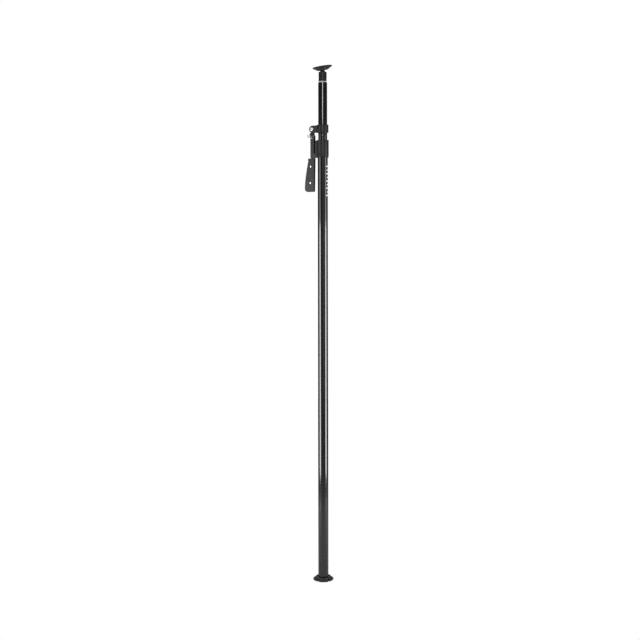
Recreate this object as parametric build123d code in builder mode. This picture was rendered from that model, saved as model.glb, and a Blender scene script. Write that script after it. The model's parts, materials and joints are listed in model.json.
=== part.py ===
from build123d import *
import os
from math import atan2, cos, hypot, radians, sin

# Telescopic tension pole that is wedged between a floor and a ceiling. Two aluminium tubes
# telescope. A cam lever on the lower one jacks a clamp collar up the upper one, and a stiff
# spring under the ceiling pad keeps the thrust. A push button locks the lever.
#
# Millimetres. The origin is the centre of the foot's contact face, +Z runs up the pole, and
# the lever hangs on the -X side with its pivots along Y.

os.makedirs("parts", exist_ok=True)

# Clearances
running_gap = 0.06  # radial, where one round piece slides or turns in another
seat_gap = 0.05  # radial, where a piece is fixed on or in a round one
guide_gap = 0.1  # radial, where a round piece is only guided
free_gap = 0.3  # between faces that move past each other without being a fit
overlap = 1.0  # how far solids that are fused or cut reach past each other

# Tubes
outer_diameter = 45.0
tube_wall = 1.3
outer_length = 1921.0
glide_wall = 1.14  # nylon between the two tubes
exposed_inner = 263.5  # inner tube standing out of the outer one
closed_travel = 160.0  # how far the inner pole can still go down
tail_stop_gap = 3.0  # left between the tail and the foot plug when closed

# Rubber foot and its plug
foot_rim_margin = 22.1  # from the tube to the edge of the rim
foot_height = 15.0
foot_lip_margin = 8.0  # from the tube to the top edge of the lobes
foot_valley_height = 11.0
foot_facing = -57.0  # direction of the narrow lobes, in degrees from +X
foot_disc_margin = 7.5
foot_disc_low = 5.0
disc_thickness = 4.0
plug_depth = 33.0
plug_wall = 5.0
plug_chamfer = 1.0
foot_pin_rise = 19.8  # above the plug's disc
cross_pin_radius = 2.0
pin_inset = 0.2  # the cross pins end this far below the surface

# Shape shared by both rubber cups
cup_boss_radius = 12.0
suction_depth = 1.0
suction_slope = 1.0
contact_width = 7.0
rim_chamfer = 2.0
rim_height = 4.5
rim_rounding = 1.2
lip_width = 2.4
lip_rounding = 0.84
valley_share = 0.45  # of the way from the opening to the lip
slot_width = 8.0
slot_start = 35.0
narrow_lobe_angle = 71.0
panel_depth = 0.9
panel_start = 0.2  # shares of the cone's length
panel_end = 0.82
panel_edge_angle = 10.0

# Die-cast bracket on the outer tube
sleeve_wall = 4.0
sleeve_height = 76.6
sleeve_above_tube = 9.6
sleeve_lip_gap = 0.6
bush_length = 35.0
bush_flange = 3.0
pivot_offset = 29.5  # from the outer tube's surface to the lever pivot
pivot_above_tube = 28.0
cheek_play = 0.5  # between the lever blade and each cheek
cheek_thickness = 4.0
post_radius = 9.7
post_corner = 3.0
bridge_height = 20.0
boss_reach = 13.0  # solid part of the bracket beside the tube
bracket_screw_radius = 2.0
bracket_screw_head = 4.2
bracket_screw_head_height = 1.6
bracket_screw_height = 12.0

# Lever
blade_thickness = 5.0
blade_width = 16.0
cam_radius = 24.5  # highest contact radius, straight above the pivot
cam_drop = 8.0
swing_angle = 105.0
cam_gap = 0.15
cam_overrun = 8.0  # degrees of cam past each end of the swing
shank_start = 20.0  # below the pivot
tang_overlap = 12.0
pivot_radius = 5.0
pivot_bush_wall = 1.6
handle_length = 148.8
scale_thickness = 2.7
scale_rounding = 1.2
handle_top_gap = 1.2  # below the bracket
handle_top_width = 34.3
handle_bottom_width = 49.3
handle_straight = 13.0
handle_inner_top = 3.4  # how far the handle reaches past the blade towards the tube
handle_inner_bottom = 0.5
handle_corner = 15.0
handle_small_corner = 3.0
tang_inset = 1.0
rivet_radius = 2.5
rivet_head = 4.5
rivet_head_height = 1.2
rivet_rounding = 0.7
upper_rivet = (16.4, 35.3)  # in from the blade's edge, down from the handle's top
lower_rivet = (18.5, 108.7)

# Safety catch on the lever pivot
ferrule_flange_radius = 9.9
ferrule_flange = 3.0
ferrule_radius = 9.0
ferrule_length = 13.0
ferrule_chamfer = 0.5
button_radius = 7.6
button_chamfer = 0.8
button_reach = 27.0  # from the cheek to the button's face
button_travel = 5.0
button_wall = 1.5
button_face = 10.0  # solid end of the button
button_dimple_radius = 5.2
button_dimple_depth = 3.0
button_dimple_slope = 0.6
stem_radius = 3.0
stem_seat = 4.0  # how deep the stem sits in the button
stem_past_plate = 1.6
catch_plate_thickness = 2.0
catch_plate_width = 11.0
catch_drop = 12.5  # from the pivot down to the locking pin
catch_pin_radius = 2.0
catch_pin_short = 0.2  # the pin stops this far from the blade
catch_wire = 0.4
catch_turns = 5
clip_thickness = 0.8
clip_wall = 2.0
clip_mouth = 2.4
spring_play = 0.05  # between a spring and the face at each of its ends

# Clamp collar on the inner tube
collar_wall = 3.5
collar_height = 34.5
collar_drop = 18.5  # from the roller's axis to the collar's lower end
liner_wall = 1.94
liner_lip = 2.0
liner_slit = 2.0
shoe_height = 12.0
shoe_angle = 70.0
shoe_play_angle = 0.4
roller_radius = 9.0
roller_width = 6.0
roller_play = 0.2  # between the roller and each ear
roller_chamfer = 0.4
ear_thickness = 4.8
ear_radius = 15.2
bolt_radius = 3.0
bolt_head_radius = 8.8
bolt_head_height = 4.0
bolt_rounding = 1.2
bolt_socket_radius = 2.9
bolt_socket_depth = 1.4
bolt_past_nut = 2.0
nut_width = 10.0
nut_height = 5.0

# Spring-loaded plunger inside the top of the inner tube
guide_wall = 0.8
guide_flange = 6.0
guide_length = 25.0
guide_step = 0.2
guide_chamfer = 0.5
neck_height = 41.5
neck_chamfer = 1.5
stop_gap = 0.2
stop_height = 9.8
stop_play = 0.3
spring_length = 80.0
spring_wire = 1.4
spring_turns = 9
spring_margin = 3.3  # between the spring and the inner tube
spring_guide_margin = 2.1
spring_guide_chamfer = 1.0
spring_guide_length = 20.0
seat_height = 20.0
seat_bore = 8.0
tail_height = 30.0
tail_skirt = 15.0
tail_wall = 4.0
tail_chamfer = 1.0

# Ceiling pad, its swivel and its tilt
head_rim_radius = 43.5
head_height = 16.0
head_lip_radius = 23.0
head_opening = 19.0
head_disc_radius = 28.0
head_disc_low = 4.5
head_disc_thickness = 3.0
head_valley_height = 9.5
head_rise = 13.0  # from the tilt pin to the pad's contact face
lug_gap = 0.5  # between the swivel screw and the head's lug
tilt_at_rest = 10.0
tilt_axis_angle = -31.5  # direction of the tilt pin, in degrees from +X
hub_radius = 11.0
hub_plate = 4.7
hub_ear_gap = 6.7
hub_ear_thickness = 3.0
hub_ear_radius = 4.8
lug_radius = 4.5
tilt_pin_radius = 2.5
swivel_radius = 4.0
swivel_depth = 12.0
swivel_head_radius = 6.0
swivel_head_height = 1.7
swivel_head_chamfer = 0.4

# Sizes and places that follow from those above
outer_radius = outer_diameter / 2
outer_bore = outer_radius - tube_wall
inner_radius = outer_bore - glide_wall - running_gap
inner_bore = inner_radius - tube_wall
neck_radius = inner_bore - guide_wall - guide_gap
spring_radius = inner_bore - spring_margin - spring_wire
spring_guide_radius = spring_radius - spring_wire - spring_guide_margin
foot_seat = foot_disc_low + disc_thickness
foot_pin_z = foot_seat + foot_pin_rise
plug_top = foot_seat + plug_depth
outer_top = foot_seat + outer_length
tail_bottom = plug_top + tail_stop_gap + closed_travel
inner_bottom = tail_bottom + tail_skirt
inner_top = outer_top + exposed_inner
sleeve_top = outer_top + sleeve_above_tube
sleeve_bottom = sleeve_top - sleeve_height
sleeve_radius = outer_radius + sleeve_wall
pivot_x = -(outer_radius + pivot_offset)
pivot_z = outer_top + pivot_above_tube
cheek_gap = blade_thickness / 2 + cheek_play
cheek_outer = cheek_gap + cheek_thickness
ear_gap = roller_width / 2 + roller_play
handle_thickness = blade_thickness + 2 * scale_thickness
follower_z = pivot_z + cam_radius + roller_radius
collar_bottom = follower_z - collar_drop
collar_top = collar_bottom + collar_height
collar_bore = inner_radius + running_gap + liner_wall
collar_radius = collar_bore + collar_wall
handle_top = sleeve_bottom - handle_top_gap
handle_bottom = handle_top - handle_length
blade_edge = pivot_x + blade_width / 2
neck_bottom = inner_top - guide_length
neck_top = inner_top + guide_flange + neck_height
stop_top = neck_bottom - stop_gap
spring_top = stop_top - stop_height
seat_top = spring_top - spring_length
tilt_z = neck_top + 2 * free_gap + hub_plate + swivel_head_height + lug_gap + lug_radius

pivot_axis = Axis((pivot_x, 0, pivot_z), (0, 1, 0))
across = Plane.XY.offset(pivot_z)  # section through the lever pivot, for turned pieces


def facing(y: float) -> Plane:
    """Vertical plane across the pole at the given y, its own axes being X and Z."""
    return Plane.XZ.offset(-y)


def outline(plane: Plane, points: list) -> Sketch:
    """Closed straight-sided outline through the points, on the plane."""
    with BuildSketch(plane) as face:
        with BuildLine():
            Polyline(*points, close=True)
        make_face()
    return face.sketch


def disc(plane: Plane, x: float, y: float, radius: float) -> Sketch:
    """Round outline about a point of the plane."""
    with BuildSketch(plane) as face:
        with Locations((x, y)):
            Circle(radius)
    return face.sketch


def ring_section(inner: float, outer: float, low: float, high: float) -> Sketch:
    """Rectangular half section of a ring about the pole's axis."""
    return outline(Plane.XZ, [(inner, low), (outer, low), (outer, high), (inner, high)])


def pivot_section(steps: list) -> Sketch:
    """Half section of a piece turned about the lever pivot, as (radius, y) points."""
    return outline(across, [(pivot_x + radius, y) for radius, y in steps])


def cup(
    base: Plane,
    rim: float,
    height: float,
    lip: float,
    valley_height: float,
    opening: float,
    disc_radius: float,
    disc_low: float,
    disc_high: float,
) -> Part:
    """Lobed rubber cup. The base plane is its contact face and looks into the cup."""
    section = Plane(base.origin, x_dir=base.x_dir, z_dir=-base.y_dir)
    axis = Axis(base.origin, base.z_dir)
    lip_outer = lip + lip_width / 2
    valley = opening + (lip - lip_width - opening) * valley_share
    cone_run = rim - lip_outer
    cone_rise = height - rim_height
    cone = hypot(cone_run, cone_rise)
    along = Vector(-cone_run, cone_rise) / cone
    outward = Vector(cone_rise, cone_run) / cone
    foot_of_cone = Vector(rim, rim_height)
    panel = [
        foot_of_cone + along * cone * share + outward * depth
        for share, depth in (
            (panel_start, overlap),
            (panel_start, -panel_depth),
            (panel_end, -panel_depth),
            (panel_end, overlap),
        )
    ]
    half = narrow_lobe_angle / 2
    slots = [half, 180 - half, 180 + half, 360 - half]
    with BuildPart() as rubber:
        with BuildSketch(section):
            with BuildLine():
                Polyline(
                    (0, 0),
                    (cup_boss_radius, 0),
                    (cup_boss_radius + suction_slope, suction_depth),
                    (rim - rim_chamfer - contact_width - suction_slope, suction_depth),
                    (rim - rim_chamfer - contact_width, 0),
                    (rim - rim_chamfer, 0),
                    (rim, rim_chamfer),
                    (rim, rim_height),
                    (lip_outer, height),
                    (lip_outer - lip_width, height),
                    (valley, valley_height),
                    (opening, valley_height),
                    (opening, disc_high),
                    (disc_radius, disc_high),
                    (disc_radius, disc_low),
                    (0, disc_low),
                    close=True,
                )
            section_face = make_face()
            fillet(section_face.vertices().group_by(Axis.X)[-1], radius=rim_rounding)
            fillet(section_face.vertices().group_by(Axis.Y)[-1], radius=lip_rounding)
        revolve(axis=axis)
        reach = rim - slot_start + slot_width / 2
        with BuildSketch(base):
            for angle in slots:
                with Locations(Location((0, 0, 0), angle)):
                    with Locations((slot_start + reach / 2, 0)):
                        SlotOverall(reach, slot_width)
        extrude(amount=height + overlap, mode=Mode.SUBTRACT)
        for start, end in zip(slots, slots[1:] + [slots[0] + 360]):
            turn = base.rotated((0, 0, start + panel_edge_angle))
            side = Plane(turn.origin, x_dir=turn.x_dir, z_dir=-turn.y_dir)
            arc = end - start - 2 * panel_edge_angle
            revolve(
                outline(side, [(p.X, p.Y) for p in panel]),
                axis=axis,
                revolution_arc=arc,
                mode=Mode.SUBTRACT,
            )
    return rubber.part


def save(part: Part, name: str) -> None:
    """Label a finished piece and write its STEP file."""
    part.label = name
    export_step(part, f"parts/{name}.step")


# ---------------------------------------------------------------- outer pole
with BuildPart() as outer_tube:
    revolve(ring_section(outer_bore, outer_radius, foot_seat, outer_top), axis=Axis.Z)
    with Locations((0, 0, foot_pin_z)):
        Cylinder(cross_pin_radius, 2 * outer_radius, rotation=(90, 0, 0), mode=Mode.SUBTRACT)
    with Locations((0, 0, sleeve_bottom + bracket_screw_height)):
        Cylinder(bracket_screw_radius, 3 * outer_radius, rotation=(90, 0, 0), mode=Mode.SUBTRACT)

with BuildPart() as foot_plug:
    plug_radius = outer_bore - seat_gap
    revolve(
        outline(
            Plane.XZ,
            [
                (0, foot_disc_low),
                (outer_radius + foot_disc_margin, foot_disc_low),
                (outer_radius + foot_disc_margin, foot_seat),
                (plug_radius, foot_seat),
                (plug_radius, plug_top - plug_chamfer),
                (plug_radius - plug_chamfer, plug_top),
                (plug_radius - plug_wall, plug_top),
                (plug_radius - plug_wall, foot_seat + plug_wall),
                (0, foot_seat + plug_wall),
            ],
        ),
        axis=Axis.Z,
    )
    with Locations((0, 0, foot_pin_z)):
        Cylinder(cross_pin_radius, 2 * outer_radius, rotation=(90, 0, 0), mode=Mode.SUBTRACT)

with BuildPart() as foot_pin:
    with Locations((0, 0, foot_pin_z)):
        Cylinder(cross_pin_radius, 2 * (outer_radius - pin_inset), rotation=(90, 0, 0))

foot_base = Plane.XY.rotated((0, 0, foot_facing))
foot_pad = cup(
    foot_base,
    rim=outer_radius + foot_rim_margin,
    height=foot_height,
    lip=outer_radius + foot_lip_margin,
    valley_height=foot_valley_height,
    opening=outer_radius + seat_gap,
    disc_radius=outer_radius + foot_disc_margin + seat_gap,
    disc_low=foot_disc_low,
    disc_high=foot_seat,
)

with BuildPart() as lower_bracket:
    revolve(
        ring_section(outer_radius + seat_gap, sleeve_radius, sleeve_bottom, sleeve_top), axis=Axis.Z
    )
    revolve(
        ring_section(
            inner_radius + sleeve_lip_gap, sleeve_radius, outer_top + bush_flange, sleeve_top
        ),
        axis=Axis.Z,
    )
    boss_edge = -(outer_radius + boss_reach)
    with BuildSketch(facing(cheek_outer)):
        with BuildLine():
            Polyline(
                (-inner_radius, sleeve_bottom),
                (boss_edge, sleeve_bottom),
                (boss_edge, sleeve_top),
                (-inner_radius, sleeve_top),
                close=True,
            )
        make_face()
    extrude(amount=2 * cheek_outer)
    for side in (cheek_outer, -cheek_gap):
        with BuildSketch(facing(side)):
            with BuildLine():
                Polyline(
                    (boss_edge + overlap, sleeve_bottom),
                    (pivot_x - post_radius, sleeve_bottom),
                    (pivot_x - post_radius, pivot_z),
                    (pivot_x + post_radius, pivot_z),
                    (pivot_x + post_radius, sleeve_bottom + bridge_height),
                    (boss_edge + overlap, sleeve_bottom + bridge_height),
                    close=True,
                )
            plate = make_face()
            fillet(plate.vertices().group_by(Axis.X)[0].sort_by(Axis.Y)[0], radius=post_corner)
            with Locations((pivot_x, pivot_z)):
                Circle(post_radius)
        extrude(amount=cheek_thickness)
    sleeve_floor = Plane.XY.offset(sleeve_bottom)
    tube_seat = disc(sleeve_floor, 0, 0, outer_radius + seat_gap)
    extrude(tube_seat, amount=outer_top + bush_flange - sleeve_bottom, mode=Mode.SUBTRACT)
    mouth = disc(sleeve_floor, 0, 0, inner_radius + sleeve_lip_gap)
    extrude(mouth, amount=sleeve_height, mode=Mode.SUBTRACT)
    pivot_hole = disc(facing(cheek_outer), pivot_x, pivot_z, pivot_radius)
    extrude(pivot_hole, amount=2 * cheek_outer, mode=Mode.SUBTRACT)
    pin_hole = disc(facing(cheek_outer), pivot_x, pivot_z - catch_drop, catch_pin_radius + guide_gap)
    extrude(pin_hole, amount=cheek_thickness, mode=Mode.SUBTRACT)
    with Locations((0, 0, sleeve_bottom + bracket_screw_height)):
        Cylinder(bracket_screw_radius, 3 * outer_radius, rotation=(90, 0, 0), mode=Mode.SUBTRACT)

with BuildPart() as bracket_screws:
    screw_z = sleeve_bottom + bracket_screw_height
    screw_end = outer_bore + pin_inset
    for side in (-1, 1):
        middle = Plane((0, 0, screw_z), x_dir=(1, 0, 0), z_dir=(0, side, 0))
        shank = disc(middle.offset(screw_end), 0, 0, bracket_screw_radius)
        extrude(shank, amount=sleeve_radius - screw_end)
        head = disc(middle.offset(sleeve_radius), 0, 0, bracket_screw_head)
        extrude(head, amount=bracket_screw_head_height)

with BuildPart() as top_glide_bush:
    revolve(
        outline(
            Plane.XZ,
            [
                (inner_radius + running_gap, outer_top - bush_length),
                (outer_bore - seat_gap, outer_top - bush_length),
                (outer_bore - seat_gap, outer_top),
                (outer_radius, outer_top),
                (outer_radius, outer_top + bush_flange),
                (inner_radius + running_gap, outer_top + bush_flange),
            ],
        ),
        axis=Axis.Z,
    )

with BuildPart() as pivot_sleeve:
    sleeve_bore = stem_radius + running_gap
    revolve(
        pivot_section(
            [
                (sleeve_bore, -cheek_outer),
                (pivot_radius, -cheek_outer),
                (pivot_radius, cheek_outer),
                (sleeve_bore, cheek_outer),
            ]
        ),
        axis=pivot_axis,
    )

with BuildPart() as catch_ferrule:
    flange_face = -(cheek_outer + ferrule_flange)
    ferrule_end = -(cheek_outer + ferrule_length)
    revolve(
        pivot_section(
            [
                (stem_radius + running_gap, -cheek_outer),
                (ferrule_flange_radius, -cheek_outer),
                (ferrule_flange_radius, flange_face + ferrule_chamfer),
                (ferrule_flange_radius - ferrule_chamfer, flange_face),
                (ferrule_radius, flange_face),
                (ferrule_radius, ferrule_end + ferrule_chamfer),
                (ferrule_radius - ferrule_chamfer, ferrule_end),
                (button_radius + running_gap, ferrule_end),
                (button_radius + running_gap, flange_face),
                (stem_radius + running_gap, flange_face),
            ]
        ),
        axis=pivot_axis,
    )

# ---------------------------------------------------------------- lever
pitch_slope = cam_drop / radians(swing_angle)
follower_distance = cam_radius + roller_radius


def cam_point(angle: float) -> tuple:
    """Point of the cam that the roller touches when the lever has swung through the angle."""
    turn = radians(angle)
    pitch = follower_distance - pitch_slope * turn
    lean = atan2(pitch_slope, pitch)
    radial = pitch - (roller_radius + cam_gap) * cos(lean)
    sideways = -(roller_radius + cam_gap) * sin(lean)
    x = -radial * sin(turn) - sideways * cos(turn)
    z = radial * cos(turn) - sideways * sin(turn)
    return (pivot_x + x, pivot_z + z)


def handle_outline(plane: Plane, inset: float) -> Sketch:
    """Side outline of the handle, drawn in by the inset all round."""
    inner_top_x = blade_edge + handle_inner_top - inset
    inner_bottom_x = blade_edge + handle_inner_bottom - inset
    outer_top_x = inner_top_x - handle_top_width + 2 * inset
    outer_bottom_x = inner_bottom_x - handle_bottom_width + 2 * inset
    top = handle_top - inset
    bottom = handle_bottom + inset
    swell = outer_top_x - outer_bottom_x
    straight_end = handle_top - handle_straight
    curve_end = handle_bottom + 1.4 * handle_corner
    curve_length = straight_end - curve_end
    with BuildSketch(plane) as face:
        with BuildLine():
            Line((outer_top_x, top), (outer_top_x, straight_end))
            Spline(
                (outer_top_x, straight_end),
                (outer_top_x - 0.46 * swell, straight_end - 0.35 * curve_length),
                (outer_top_x - 0.84 * swell, straight_end - 0.7 * curve_length),
                (outer_bottom_x, curve_end),
                tangents=[(-0.06, -1), (-0.02, -1)],
            )
            Polyline(
                (outer_bottom_x, curve_end),
                (outer_bottom_x, bottom),
                (inner_bottom_x, bottom),
                (inner_top_x, top),
                (outer_top_x, top),
            )
        shape = make_face()
        low = shape.vertices().group_by(Axis.Y)[0].sort_by(Axis.X)
        fillet(low[0], radius=handle_corner - inset)
        fillet(low[1], radius=handle_small_corner - inset)
    return face.sketch


rivet_spots = [(blade_edge - inward, handle_top - drop) for inward, drop in (upper_rivet, lower_rivet)]
blade_half = blade_thickness / 2
handle_half = handle_thickness / 2

with BuildPart() as lever_blade:
    with BuildSketch(facing(blade_half)):
        cam_turn = swing_angle + 2 * cam_overrun
        cam_points = [cam_point(cam_turn * step / 12 - cam_overrun) for step in range(13)]
        with BuildLine():
            Spline(*cam_points)
            Polyline(
                cam_points[-1],
                (pivot_x - blade_width / 2, pivot_z - shank_start),
                (pivot_x - blade_width / 2, handle_top - tang_overlap),
                (blade_edge, handle_top - tang_overlap),
                (blade_edge, pivot_z + blade_width),
                cam_points[0],
            )
        make_face()
    extrude(amount=blade_thickness)
    extrude(handle_outline(facing(blade_half), tang_inset), amount=blade_thickness)
    holes = [
        (pivot_x, pivot_z, pivot_radius + running_gap + pivot_bush_wall),
        (pivot_x, pivot_z - catch_drop, catch_pin_radius + 2 * guide_gap),
        *((x, z, rivet_radius) for x, z in rivet_spots),
    ]
    for x, z, radius in holes:
        extrude(disc(facing(blade_half), x, z, radius), amount=blade_thickness, mode=Mode.SUBTRACT)

with BuildPart() as pivot_bush:
    bush_half = blade_half + pin_inset
    bush_bore = pivot_radius + running_gap
    revolve(
        pivot_section(
            [
                (bush_bore, -bush_half),
                (bush_bore + pivot_bush_wall, -bush_half),
                (bush_bore + pivot_bush_wall, bush_half),
                (bush_bore, bush_half),
            ]
        ),
        axis=pivot_axis,
    )


def grip_scale(near: float, far: float) -> Part:
    """One plastic half of the handle, from the blade's face out to the far plane."""
    low, high = min(near, far), max(near, far)
    with BuildPart() as scale:
        extrude(handle_outline(facing(high), 0), amount=high - low)
        outer_face = scale.faces().sort_by(Axis.Y)[-1 if far > near else 0]
        fillet(outer_face.edges(), radius=scale_rounding)
        for x, z in rivet_spots:
            extrude(disc(facing(high), x, z, rivet_radius), amount=high - low, mode=Mode.SUBTRACT)
    return scale.part


grip_scale_front = grip_scale(-blade_half, -handle_half)
grip_scale_rear = grip_scale(blade_half, handle_half)

with BuildPart() as grip_rivets:
    for x, z in rivet_spots:
        extrude(disc(facing(handle_half), x, z, rivet_radius), amount=handle_thickness)
        for face in (-handle_half, handle_half + rivet_head_height):
            extrude(disc(facing(face), x, z, rivet_head), amount=rivet_head_height)
    rims = grip_rivets.faces().filter_by(Axis.Y).group_by(Axis.Y)
    fillet(rims[0].edges() + rims[-1].edges(), radius=rivet_rounding)

# ---------------------------------------------------------------- safety catch
button_end = -(cheek_outer + button_reach)
button_inner_end = -(cheek_outer + ferrule_flange + button_travel + free_gap)
cavity_end = button_end + button_face
stem_start = cavity_end - stem_seat
plate_near = cheek_outer + free_gap
plate_far = plate_near + catch_plate_thickness
stem_end = plate_far + stem_past_plate

with BuildPart() as catch_button:
    revolve(
        pivot_section(
            [
                (0, button_end + button_dimple_depth),
                (button_dimple_radius, button_end + button_dimple_depth),
                (button_dimple_radius + button_dimple_slope, button_end),
                (button_radius - button_chamfer, button_end),
                (button_radius, button_end + button_chamfer),
                (button_radius, button_inner_end),
                (button_radius - button_wall, button_inner_end),
                (button_radius - button_wall, cavity_end),
                (stem_radius, cavity_end),
                (stem_radius, stem_start),
                (0, stem_start),
            ]
        ),
        axis=pivot_axis,
    )

with BuildPart() as catch_stem:
    revolve(
        pivot_section(
            [(0, stem_start), (stem_radius, stem_start), (stem_radius, stem_end), (0, stem_end)]
        ),
        axis=pivot_axis,
    )

with BuildPart() as catch_plate:
    with BuildSketch(facing(plate_far)):
        with Locations(Location((pivot_x, pivot_z - catch_drop / 2), 90)):
            SlotCenterToCenter(catch_drop, catch_plate_width)
    extrude(amount=catch_plate_thickness)
    for drop, radius in ((0, stem_radius), (catch_drop, catch_pin_radius)):
        hole = disc(facing(plate_far), pivot_x, pivot_z - drop, radius)
        extrude(hole, amount=catch_plate_thickness, mode=Mode.SUBTRACT)

with BuildPart() as catch_pin:
    pin_near = blade_half + catch_pin_short
    pin_face = disc(facing(plate_far), pivot_x, pivot_z - catch_drop, catch_pin_radius)
    extrude(pin_face, amount=plate_far - pin_near)

with BuildPart() as catch_clip:
    with BuildSketch(facing(plate_far + clip_thickness)):
        with Locations((pivot_x, pivot_z)):
            Circle(stem_radius + clip_wall)
            Circle(stem_radius, mode=Mode.SUBTRACT)
        with Locations((pivot_x, pivot_z - stem_radius)):
            Rectangle(clip_mouth, 2 * (clip_wall + overlap), mode=Mode.SUBTRACT)
    extrude(amount=clip_thickness)


def coil(
    start: tuple, direction: tuple, length: float, turns: int, radius: float, wire: float
) -> Part:
    """Compression spring of round wire, wound about the direction from the start point."""
    end = wire + spring_play
    rise = length - 2 * end
    with BuildPart() as spring:
        with BuildLine() as path:
            Helix(
                pitch=rise / turns,
                height=rise,
                radius=radius,
                center=tuple(s + d * end for s, d in zip(start, direction)),
                direction=direction,
            )
        with BuildSketch(Plane(path.line @ 0, z_dir=path.line % 0)):
            Circle(wire)
        sweep(is_frenet=True)
    return spring.part


catch_spring = coil(
    (pivot_x, cavity_end, pivot_z),
    (0, 1, 0),
    flange_face - cavity_end,
    turns=catch_turns,
    radius=(stem_radius + button_radius - button_wall) / 2,
    wire=catch_wire,
)

# ---------------------------------------------------------------- clamp collar and its roller
ear_outer = ear_gap + ear_thickness
with BuildPart() as clamp_collar:
    revolve(ring_section(collar_bore, collar_radius, collar_bottom, collar_top), axis=Axis.Z)
    for side in (ear_outer, -ear_gap):
        with BuildSketch(facing(side)):
            with BuildLine():
                Polyline(
                    (pivot_x, follower_z - ear_radius),
                    (-inner_radius, collar_bottom),
                    (-inner_radius, collar_top),
                    (pivot_x, follower_z + ear_radius),
                    close=True,
                )
            make_face()
            with Locations((pivot_x, follower_z)):
                Circle(ear_radius)
        extrude(amount=ear_thickness)
    bore = disc(Plane.XY.offset(collar_bottom), 0, 0, collar_bore)
    extrude(bore, amount=collar_height, mode=Mode.SUBTRACT)
    bolt_hole = disc(facing(ear_outer), pivot_x, follower_z, bolt_radius)
    extrude(bolt_hole, amount=2 * ear_outer, mode=Mode.SUBTRACT)

liner_bore = inner_radius + running_gap
liner_outer = collar_bore - seat_gap
with BuildPart() as clamp_liner:
    revolve(
        ring_section(liner_bore, liner_outer, collar_bottom + liner_lip, collar_top - liner_lip),
        axis=Axis.Z,
    )
    with Locations((collar_radius / 2, 0, (collar_bottom + collar_top) / 2)):
        Box(collar_radius, liner_slit, collar_height, mode=Mode.SUBTRACT)
    for facing_angle in (90, -90):
        window = Plane.XZ.rotated((0, 0, facing_angle - shoe_angle / 2))
        section = outline(
            window,
            [
                (liner_bore - overlap, follower_z - shoe_height / 2),
                (liner_outer + overlap, follower_z - shoe_height / 2),
                (liner_outer + overlap, follower_z + shoe_height / 2),
                (liner_bore - overlap, follower_z + shoe_height / 2),
            ],
        )
        revolve(section, axis=Axis.Z, revolution_arc=shoe_angle, mode=Mode.SUBTRACT)

with BuildPart() as grip_shoes:
    shoe_half = shoe_height / 2 - guide_gap
    for facing_angle in (90, -90):
        start = facing_angle - shoe_angle / 2 + shoe_play_angle
        shoe_plane = Plane.XZ.rotated((0, 0, start))
        section = outline(
            shoe_plane,
            [
                (liner_bore, follower_z - shoe_half),
                (liner_outer, follower_z - shoe_half),
                (liner_outer, follower_z + shoe_half),
                (liner_bore, follower_z + shoe_half),
            ],
        )
        revolve(section, axis=Axis.Z, revolution_arc=shoe_angle - 2 * shoe_play_angle)

with BuildPart() as follower_bolt:
    bolt_end = ear_outer + nut_height + bolt_past_nut
    extrude(disc(facing(bolt_end), pivot_x, follower_z, bolt_radius), amount=bolt_end + ear_outer)
    extrude(disc(facing(-ear_outer), pivot_x, follower_z, bolt_head_radius), amount=bolt_head_height)
    head_face = follower_bolt.faces().sort_by(Axis.Y)[0]
    fillet(head_face.edges(), radius=bolt_rounding)
    with BuildSketch(facing(bolt_socket_depth - bolt_head_height - ear_outer)):
        with Locations((pivot_x, follower_z)):
            RegularPolygon(radius=bolt_socket_radius, side_count=6)
    extrude(amount=bolt_socket_depth + overlap, mode=Mode.SUBTRACT)

with BuildPart() as follower_nut:
    with BuildSketch(facing(ear_outer + nut_height)):
        with Locations((pivot_x, follower_z)):
            RegularPolygon(radius=nut_width / 2, side_count=6, major_radius=False)
            Circle(bolt_radius, mode=Mode.SUBTRACT)
    extrude(amount=nut_height)

with BuildPart() as follower_roller:
    with BuildSketch(facing(roller_width / 2)):
        with Locations((pivot_x, follower_z)):
            Circle(roller_radius)
            Circle(bolt_radius + running_gap, mode=Mode.SUBTRACT)
    extrude(amount=roller_width)
    rims = follower_roller.edges().filter_by(GeomType.CIRCLE).sort_by(SortBy.RADIUS)[-2:]
    chamfer(rims, length=roller_chamfer)

# ---------------------------------------------------------------- inner pole
seat_bottom = seat_top - seat_height
seat_pin_z = seat_bottom + seat_height / 2
tail_pin_z = inner_bottom + (tail_height - tail_skirt) / 2

with BuildPart() as inner_tube:
    revolve(ring_section(inner_bore, inner_radius, inner_bottom, inner_top), axis=Axis.Z)
    with Locations((0, 0, seat_pin_z), (0, 0, tail_pin_z)):
        Cylinder(cross_pin_radius, 3 * inner_radius, rotation=(90, 0, 0), mode=Mode.SUBTRACT)

with BuildPart() as tail_glide:
    tail_radius = outer_bore - guide_gap
    tail_plug = inner_bore - seat_gap
    revolve(
        outline(
            Plane.XZ,
            [
                (tail_plug - tail_wall, tail_bottom),
                (tail_radius - tail_chamfer, tail_bottom),
                (tail_radius, tail_bottom + tail_chamfer),
                (tail_radius, inner_bottom),
                (tail_plug, inner_bottom),
                (tail_plug, tail_bottom + tail_height),
                (tail_plug - tail_wall, tail_bottom + tail_height),
            ],
        ),
        axis=Axis.Z,
    )
    with Locations((0, 0, tail_pin_z)):
        Cylinder(cross_pin_radius, 3 * inner_radius, rotation=(90, 0, 0), mode=Mode.SUBTRACT)

with BuildPart() as tail_pin:
    with Locations((0, 0, tail_pin_z)):
        Cylinder(cross_pin_radius, 2 * (inner_radius - pin_inset), rotation=(90, 0, 0))

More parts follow.
